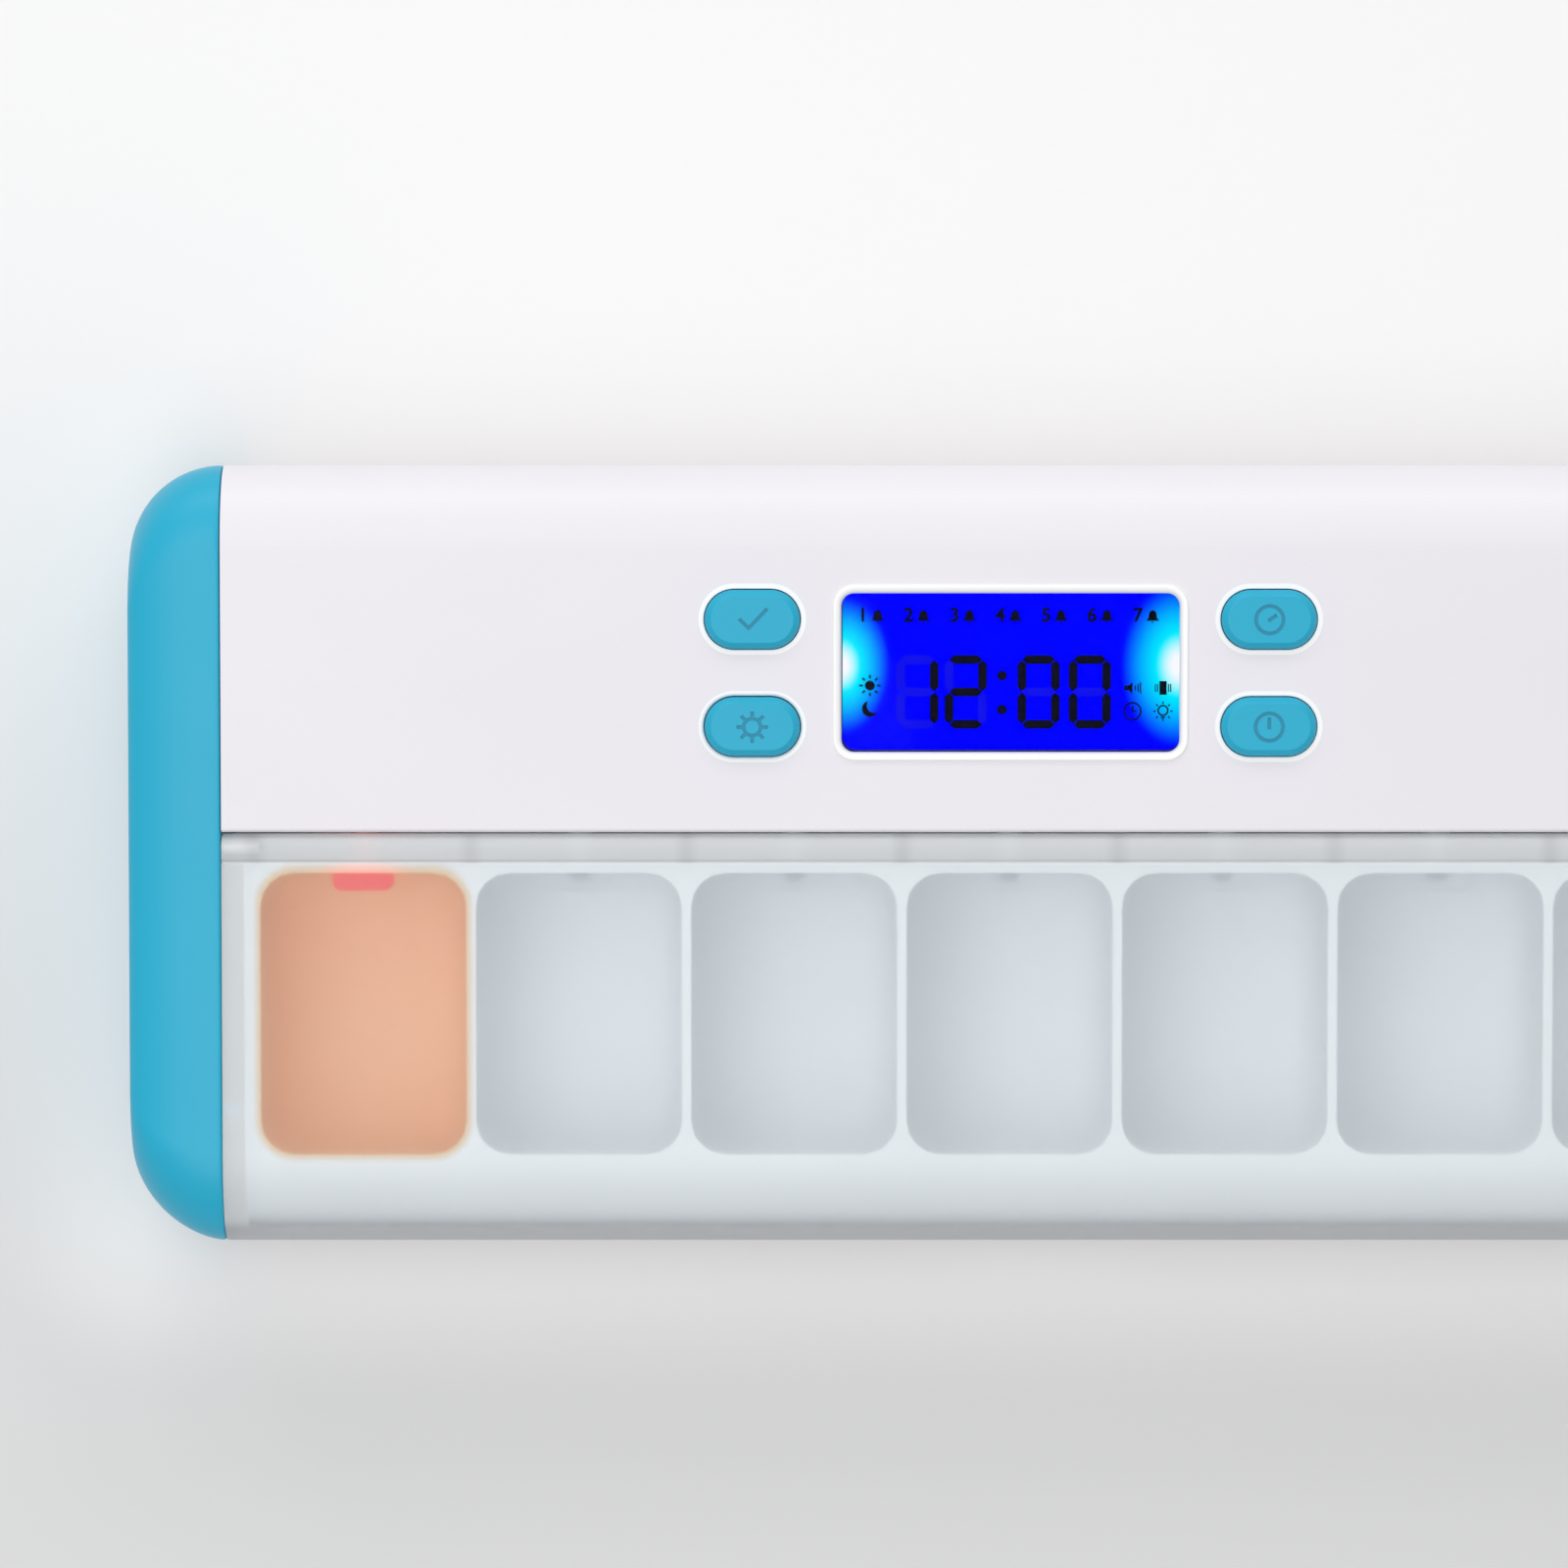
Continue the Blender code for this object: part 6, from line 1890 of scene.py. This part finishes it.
@dataclass
class PillLamp:
    """A small lamp that points into a compartment, and the lens strip over it at the rim."""

    case: CaseShape
    node: str
    lit: bool
    radius: float = 1.5 * MM
    flange_radius: float = 1.9 * MM
    flange: float = 1.0 * MM
    dome: float = 1.5 * MM
    strip: Triple = (7.6 * MM, 2.7 * MM, 1.1 * MM)
    strip_back: float = -2.0 * MM
    strip_inset: float = 2.4 * MM

    def strip_form(self, x: float) -> Form:
        """The lens strip, standing out from the compartment's back wall.

        Args:
            x: Its middle.

        Returns:
            The form, in the object's own frame.
        """
        wide, deep, thick = self.strip
        back = (self.strip_back - self.case.face_y) / math.cos(self.case.slope)
        low = x - wide / 2, back - deep, -self.strip_inset - thick
        high = x + wide / 2, back, -self.strip_inset
        return Form.block(low, high, deep * 0.45).soften(0.2 * MM, 2).move(self.case.face)

    def build(self, finish: Material, lens: Material) -> None:
        """Builds the lamp and its lens strip.

        Args:
            finish: The lamp's plastic, glowing or not.
            lens: The lens strip's plastic.
        """
        low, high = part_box(self.node)
        middle = (low + high) / 2
        length = high.y - low.y
        rings = [(0.0, 0.0), (self.flange_radius, 0.0), (self.flange_radius, self.flange * 0.85)]
        rings += [(self.flange_radius - 0.15 * MM, self.flange), (self.radius, self.flange)]
        for step in range(9):
            turn = math.pi / 2 * step / 8
            rings.append((self.radius * math.cos(turn), length - self.dome + self.dome * math.sin(turn)))
        lamp = Form.turned(rings, (0.0, 0.0, 0.0), Axis.Z, 28)
        lamp.move(Matrix.Translation((middle.x, high.y, middle.z)) @ Matrix.Rotation(math.pi / 2, 4, "X"))
        slot = "lit_red_lamp" if self.lit else "red_lamp"
        self.strip_form(middle.x).piece(f"{self.node}_lens_strip", lens, slot)
        lamp.piece(f"{self.node}_dome", finish, slot, [self.node])


@dataclass
class Battery:
    """One AAA cell: crimped can, nub and a shrunk film."""

    number: int
    side: int
    nub_radius: float = 1.9 * MM
    nub: float = 0.8 * MM
    crimp: float = 0.35 * MM

    def build(self) -> None:
        """Builds the battery."""
        node = f"battery_{self.number}"
        low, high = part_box(node)
        radius = (high.z - low.z) / 2
        length, end = high.x - low.x - self.nub, high.x - low.x
        crimp, nub = self.crimp, self.nub_radius
        rings = [(0.0, 0.0), (radius * 0.8, 0.0), (radius - crimp, 0.1 * MM), (radius, crimp)]
        rings += [(radius, length - 2 * crimp), (radius - 0.2 * MM, length - crimp)]
        rings += [(radius - 2 * crimp, length), (nub + 0.2 * MM, length), (nub, length + 0.1 * MM)]
        rings += [(nub, end - 0.15 * MM), (nub - 0.15 * MM, end), (0.0, end)]
        can = Form.turned(rings, (0.0, 0.0, 0.0), Axis.X, 48)
        if self.side < 0:
            can.move(Matrix.Rotation(math.pi, 4, "Z"))
        start = low.x if self.side > 0 else high.x
        can.shift(start, (low.y + high.y) / 2, (low.z + high.z) / 2)
        shoulder = start + self.side * length
        finish = BatteryJacket(f"battery_film_{self.number}", shoulder, length, self.side).material()
        can.piece(f"{node}_cell", finish, "battery_can", [node])


@dataclass
class Contacts:
    """The sprung and dimpled plates at the two ends of the battery bay."""

    wire: float = 0.3 * MM
    plate: float = 0.4 * MM
    spring_radius: float = 2.8 * MM
    tip_share: float = 0.6
    dimple: tuple[Pair, ...] = (
        (0.0, 0.0), (1.9 * MM, 0.0), (1.5 * MM, 0.7 * MM), (0.9 * MM, 1.1 * MM), (0.0, 1.2 * MM)
    )
    turns: int = 4
    turn_steps: int = 28
    places: Mapping[str, tuple[int, tuple[tuple[int, bool], ...]]] = field(
        default_factory=lambda: {
            "battery_contact_negative": (-1, ((1, True),)),
            "battery_contact_left_bridge": (-1, ((2, False), (3, True))),
            "battery_contact_right_bridge": (1, ((1, False), (2, True))),
            "battery_contact_positive": (1, ((3, False),)),
        }
    )

    def spring(self, start: float, reach: float, side: int, y: float, z: float) -> Form:
        """A conical spring that winds from the plate towards a battery.

        Args:
            start: X of its first turn's wire.
            reach: How far it winds.
            side: End of the bay, -1 or 1.
            y: Its middle.
            z: Its middle.

        Returns:
            The form.
        """
        made = Form()
        place = Matrix.Translation((self.spring_radius, 0.0, 0.0)) @ Axis.Y.turn()
        bmesh.ops.create_circle(made.bm, cap_ends=False, segments=8, radius=self.wire, matrix=place)
        steps = self.turns * self.turn_steps
        turn = {"axis": (0, 0, 1), "angle": 2 * math.pi * self.turns, "dvec": (0, 0, reach / steps)}
        geometry = made.bm.verts[:] + made.bm.edges[:]
        bmesh.ops.spin(made.bm, geom=geometry, cent=(0, 0, 0), steps=steps, use_merge=False, **turn)
        bmesh.ops.holes_fill(made.bm, edges=made.bm.edges[:], sides=0)
        for vert in made.bm.verts:
            share = min(1.0, max(0.0, vert.co.z / reach))
            around = Vector((vert.co.x, vert.co.y))
            mean = around.normalized() * self.spring_radius
            around = mean * (1 - share * (1 - self.tip_share)) + (around - mean)
            vert.co.x, vert.co.y = around
        bmesh.ops.recalc_face_normals(made.bm, faces=made.bm.faces[:])
        made.move(Axis.X.turn())
        if side > 0:
            made.move(Matrix.Rotation(math.pi, 4, "Z"))
        return made.shift(start, y, z)

    def build(self, finish: Material) -> None:
        """Builds the four contacts.

        Args:
            finish: Plated steel.
        """
        for node, (side, members) in self.places.items():
            low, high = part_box(node)
            back = low.x if side < 0 else high.x
            inner = back - side * self.plate
            x0, x1 = sorted((back, inner))
            plate = Form.block((x0, low.y, low.z), (x1, high.y, high.z), 1.0 * MM, 6, Axis.X)
            plate.soften(0.08 * MM, 1)
            for number, sprung in members:
                first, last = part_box(f"battery_{number}")
                y, z = (first.y + last.y) / 2, (first.z + last.z) / 2
                if sprung:
                    end = first.x if side < 0 else last.x
                    reach = abs(end - inner) - 2 * self.wire
                    plate.add(self.spring(inner - side * self.wire, reach, side, y, z))
                else:
                    dome = Form.turned(self.dimple, (0.0, 0.0, 0.0), Axis.X, 28)
                    if side > 0:
                        dome.move(Matrix.Rotation(math.pi, 4, "Z"))
                    plate.add(dome.shift(inner, y, z))
            plate.piece(f"{node}_plate", finish, "steel", [node])


@dataclass
class BoardParts:
    """The components soldered to the circuit board, placed in the face's own frame."""

    case: CaseShape
    top: float = -9.3 * MM
    thickness: float = 1.6 * MM
    chip_side: float = 9.0 * MM
    chip_height: float = 1.4 * MM
    chip_place: Pair = (4.0 * MM, -6.0 * MM)
    lead_pitch: float = 0.8 * MM
    lead_count: int = 9
    lead: Triple = (1.0 * MM, 0.35 * MM, 0.5 * MM)
    can_radius: float = 2.5 * MM
    can_height: float = 5.2 * MM
    can_places: tuple[Pair, ...] = ((41.5 * MM, 4.0 * MM), (-41.5 * MM, -3.0 * MM))
    chip_part: Triple = (1.6 * MM, 0.8 * MM, 0.5 * MM)
    part_rows: tuple[tuple[float, float, int], ...] = (
        (-24.0 * MM, -3.0 * MM, 5),
        (-24.0 * MM, -11.0 * MM, 6),
        (18.0 * MM, -12.0 * MM, 5),
        (20.0 * MM, 2.0 * MM, 4),
    )
    part_pitch: float = 3.0 * MM
    plug: Triple = (8.0 * MM, 4.4 * MM, 3.0 * MM)
    plug_wall: float = 0.6 * MM
    plug_place: Pair = (-41.0 * MM, 4.6 * MM)

    def controller(self) -> tuple[Form, Form]:
        """The clock's controller chip below the board.

        Returns:
            Its body and its leads.
        """
        x, y = self.chip_place
        half, under = self.chip_side / 2, self.top - self.thickness
        low, high = (x - half, y - half, under - self.chip_height), (x + half, y + half, under - 0.1 * MM)
        body = Form.block(low, high, 0.4 * MM, 2).soften(0.18 * MM, 1)
        leads = Form()
        long, wide, deep = self.lead
        low, high = (half - 0.2 * MM, -wide / 2, -deep), (half + long, wide / 2, -deep / 5)
        for number in range(self.lead_count):
            step = (number - (self.lead_count - 1) / 2) * self.lead_pitch
            for turn in range(4):
                pin = Form.block(low, high)
                place = Matrix.Translation((x, y, under)) @ Matrix.Rotation(math.pi / 2 * turn, 4, "Z")
                leads.add(pin.shift(y=step).move(place))
        return body, leads

    def cans(self) -> Form:
        """Two electrolytic capacitors with a rolled groove and a scored lid.

        Returns:
            The form.
        """
        made = Form()
        for x, y in self.can_places:
            radius, high = self.can_radius, self.can_height
            lid = high - 0.1 * MM
            rings = [(0.0, 0.0), (radius, 0.0), (radius, high * 0.14), (radius * 0.93, high * 0.19)]
            rings += [(radius, high * 0.25), (radius, high - 0.3 * MM), (radius - 0.3 * MM, high)]
            rings += [(radius * 0.8, high), (radius * 0.78, lid), (0.0, lid)]
            made.add(Form.turned(rings, (x, y, self.top), steps=32))
        return made

    def small_parts(self) -> tuple[Form, Form]:
        """Rows of resistors and capacitors below the board.

        Returns:
            Their bodies and their tinned ends.
        """
        bodies, ends = Form(), Form()
        length, width, height = self.chip_part
        under = self.top - self.thickness
        for start, y, count in self.part_rows:
            for number in range(count):
                x = start + number * self.part_pitch
                for target, near, far in ((bodies, -0.32, 0.32), (ends, -0.5, -0.34), (ends, 0.34, 0.5)):
                    low = x + length * near, y - width / 2, under - height
                    high = x + length * far, y + width / 2, under
                    target.add(Form.block(low, high))
        return bodies, ends

    def socket(self) -> Form:
        """The open socket that the leads of the lamp board and the batteries plug into.

        Returns:
            The form.
        """
        x, y = self.plug_place
        wide, deep, high = self.plug
        low = Vector((x - wide / 2, y - deep / 2, self.top))
        high = Vector((x + wide / 2, y + deep / 2, self.top + high))
        wall = Vector((self.plug_wall, self.plug_wall, self.plug_wall))
        hollow = Form.block(low + wall, high + Vector((-wall.x, -wall.y, wall.z)))
        return Form.block(low, high, 0.3 * MM, 2).carve(hollow)

    def build(self, black: Material, tin: Material, cream: Material) -> None:
        """Builds the components.

        Args:
            black: Dark moulding compound.
            tin: Tinned metal.
            cream: The socket's pale plastic.
        """
        face = self.case.face
        body, leads = self.controller()
        bodies, ends = self.small_parts()
        body.move(face).piece("controller_chip", black, "black_plastic")
        leads.move(face).piece("controller_leads", tin, "steel")
        bodies.move(face).piece("board_chip_parts", black, "black_plastic")
        ends.move(face).piece("board_chip_part_ends", tin, "steel")
        self.cans().move(face).piece("board_capacitors", tin, "steel")
        self.socket().move(face).piece("board_socket", cream, "white_lamp")


@dataclass(frozen=True)
class SoftLight:
    """A soft rectangular light that faces the case."""

    name: str
    place: Triple
    size: Pair
    power: float

    def hang(self, aim: Vector) -> None:
        """Adds the light.

        Args:
            aim: The point it faces.
        """
        lamp = bpy.data.lights.new(self.name, "AREA")
        lamp.shape = "RECTANGLE"
        lamp.size, lamp.size_y = self.size
        lamp.energy = self.power
        holder = add_object(self.name, lamp)
        holder.location = self.place
        holder.rotation_euler = (aim - holder.location).to_track_quat("-Z", "Y").to_euler()


@dataclass
class StudioSet:
    """The pale table, the soft lights and the camera straight over the case."""

    half_floor: float = 1.6
    view_centre: Pair = (-28.07 * MM, 8.75 * MM)
    view_width: float = 194.4 * MM
    camera_height: float = 1000 * MM
    view_plane: float = 30 * MM
    sensor: float = 36.0
    lights: tuple[SoftLight, ...] = (
        SoftLight("soft_box", (-0.35, -0.1, 1.1), (1.3, 0.7), 4.4),
        SoftLight("back_strip", (0.0, 1.0, 0.55), (1.6, 0.3), 3.3),
    )
    fill_light: float = 0.69
    room_low: Colour = (0.36, 0.365, 0.375)
    room_high: Colour = (1.3, 1.3, 1.3)
    wall: Colour = (0.78, 0.79, 0.8)
    paper: Finish = StudioPaper(
        "studio_paper", back=shade(243, 243, 243), front=shade(218, 218, 218), shadow_lift=shade(245, 244, 243)
    )

    def build(self) -> None:
        """Lays the table, hangs the lights and sets the camera."""
        self.lay_table()
        for light in self.lights:
            light.hang(Vector((0.0, 0.0, self.view_plane)))
        self.light_room()
        self.set_camera()

    def lay_table(self) -> None:
        """Adds the floor the case stands on."""
        bm = bmesh.new()
        bmesh.ops.create_grid(bm, x_segments=1, y_segments=1, size=self.half_floor)
        mesh = bpy.data.meshes.new("studio_table")
        bm.to_mesh(mesh)
        bm.free()
        mesh.materials.append(self.paper.material())
        add_object("studio_table", mesh)

    def light_room(self) -> None:
        """Fills the room with soft light, stronger from above and behind, between pale walls."""
        world = bpy.data.worlds.new("soft_room")
        bpy.context.scene.world = world
        graph = Graph(world)
        toward = graph.node("ShaderNodeTexCoord", output="Generated")
        split = "ShaderNodeSeparateXYZ", None, {"Vector": toward}
        back, up = graph.node(*split, "Y"), graph.node(*split, "Z")
        share = (up.ease(0.0, 0.95) * 0.8 + back.ease(0.2, 0.95) * 0.5).least(1.0)
        colour = graph.blend(share, self.room_low, self.room_high)
        room = graph.node("ShaderNodeBackground", links={"Color": colour, "Strength": self.fill_light})
        wall = graph.node("ShaderNodeBackground", links={"Color": self.wall, "Strength": 1.0})
        seen = graph.ray("Camera").most(graph.ray("Glossy")).most(graph.ray("Transmission"))
        graph.finish(graph.either(seen, room, wall), "World")

    def set_camera(self) -> None:
        """Looks straight down at the case, framed as the picture is."""
        data = bpy.data.cameras.new("camera_above")
        data.sensor_width = self.sensor
        data.lens = self.sensor * (self.camera_height - self.view_plane) / self.view_width
        camera = add_object("camera_above", data)
        camera.location = (*self.view_centre, self.camera_height)
        bpy.context.scene.camera = camera


def dress(nodes: Iterable[str], material: Material) -> None:
    """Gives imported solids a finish.

    Args:
        nodes: Names of the solids.
        material: Their finish.
    """
    for node in nodes:
        mesh = bpy.data.objects[node].data
        mesh.materials.clear()
        mesh.materials.append(material)
        LOG.info("%s: dressed as packed", node)


@dataclass(frozen=True)
class Palette:
    """The finishes of the whole pill box."""

    white: MouldedPlastic = MouldedPlastic("white_case", shade(232, 229, 235))
    blue: Finish = MouldedPlastic("blue_ends", shade(22, 170, 204))
    sign_recess_shade: Finish = MouldedPlastic("key_sign_ink", shade(34, 142, 172), 0.5)
    frosted: Finish = FrostedPlastic("frosted_lid", shade(240, 243, 245))
    window: Finish = ClearPlastic("window_acrylic")
    tray: Finish = TrayPlastic(
        "tray_plastic", shade(241, 243, 245), warm=shade(234, 190, 150), centre=(-80.4 * MM, -19.75 * MM),
        half=(12.8 * MM, 17.65 * MM), corner=4.2 * MM, lamp=(-80.4 * MM, -3.2 * MM, 21 * MM),
    )
    crystal: Finish = LitCrystal("lit_crystal", (0.0, 22.5 * MM), 20.95 * MM)
    steel: Finish = Grained(
        "plated_steel", (0.58, 0.58, 0.6), 0.82, stain=(4 * MM, 4.0), grain=(0.2 * MM, 3.0),
        roughness=(0.24, 0.06, 0.16), relief=0.004 * MM, stretch=(0.08, 1.0, 1.0),
        sockets=(("Metallic", 1.0),),
    )
    black: Finish = MouldedPlastic("black_plastic", (0.018, 0.018, 0.02), 0.45)
    frame_white: Finish = MouldedPlastic("frame_plastic", shade(228, 228, 226), 0.5)
    guide: Finish = MouldedPlastic("light_guide_plastic", shade(196, 214, 232), 0.3)
    rubber: Finish = Grained(
        "grey_rubber", (0.28, 0.28, 0.294), 1 / 1.4, stain=(2.5 * MM, 5.0), grain=(0.25 * MM, 2.0),
        roughness=(0.78, 0.12, 0.0), relief=0.02 * MM, sockets=(("Sheen_Weight", 0.15),),
    )
    board: Finish = SolderMask("main_board_mask")
    lamp_board: Finish = SolderMask("lamp_board_mask", "Z")
    lit_lamp: Finish = Glowing(
        "lit_lamp_plastic", (0.8, 0.42, 0.4), (1.0, 0.05, 0.03), strength=1.4, tip=-3.5 * MM
    )
    dark_lamp: Finish = Glowing("dark_lamp_plastic", (0.72, 0.74, 0.75), BLACK, strength=0.0)
    lit_strip: Finish = Glowing("lit_lens_plastic", (0.4, 0.008, 0.006), (0.5, 0.008, 0.005), tip=0.0)


def main() -> None:
    """Builds the pill box and the set."""
    logging.basicConfig(level=logging.INFO)
    bpy.context.scene.view_settings.view_transform = "Standard"
    case, palette = CaseShape(), Palette()
    white, blue, steel = palette.white.material(), palette.blue.material(), palette.steel.material()
    rubber, black, clear = palette.rubber.material(), palette.black.material(), palette.window.material()
    layout = FaceLayout()
    cover_plastic = replace(palette.white, name="white_cover", rims=layout.rims(case.face_y))
    TopCover(case, layout).build(cover_plastic.material())
    Lid(case).build(palette.frosted.material())
    for side in (-1, 1):
        EndCap(case, side).build(blue)
    for sign in Sign:
        KeyCap(case, layout, sign).build(blue, palette.sign_recess_shade.material())
    Display(case, layout).build(clear, black)
    dress(("lcd_glass",), palette.crystal.material())
    Softened("base_shell", "white_shell", edge=0.25 * MM).build(white)
    Softened("battery_door", "white_shell", "battery_door").build(white)
    Softened("pill_tray", "tray_plastic", edge=0.3 * MM).build(palette.tray.material())
    lit = palette.lit_lamp.material(), palette.lit_strip.material()
    dark = palette.dark_lamp.material(), clear
    for number in range(1, 8):
        PillLamp(case, f"pill_lamp_{number}", number == 1).build(*(lit if number == 1 else dark))
    for number in (1, 2, 3):
        Battery(number, 1 if number % 2 else -1).build()
    Contacts().build(steel)
    for node in ("foot_back_left", "foot_back_right", "foot_front_left", "foot_front_right"):
        Softened(node, "grey_rubber", edge=0.3 * MM).build(rubber)
    screws = [f"cover_screw_{n}" for n in range(1, 5)] + [f"tray_screw_{n}" for n in range(1, 4)]
    for node in screws + ["board_screw_1", "board_screw_2", "hinge_pin_left", "hinge_pin_right"]:
        Softened(node, "steel", edge=0.12 * MM).build(steel)
    Softened("buzzer", "black_plastic", edge=0.3 * MM).build(black)
    Softened("vibration_motor", "steel", edge=0.3 * MM).build(steel)
    Softened("motor_weight", "steel", "vibration_weight", 0.15 * MM).build(steel)
    for sign in Sign:
        Softened(f"{sign.value}_switch", "black_plastic", edge=0.15 * MM).build(black)
        Softened(f"{sign.value}_plunger", "grey_rubber", f"{sign.value}_key", 0.15 * MM).build(rubber)
    cream = palette.frame_white.material()
    BoardParts(case).build(black, steel, cream)
    dress(("circuit_board",), palette.board.material())
    dress(("lamp_board",), palette.lamp_board.material())
    dress(("lcd_contact_strip",), rubber)
    dress(("lcd_frame",), cream)
    dress(("light_guide", "backlight_lamp_left", "backlight_lamp_right"), palette.guide.material())
    StudioSet().build()


if __name__ == "__main__":
    main()
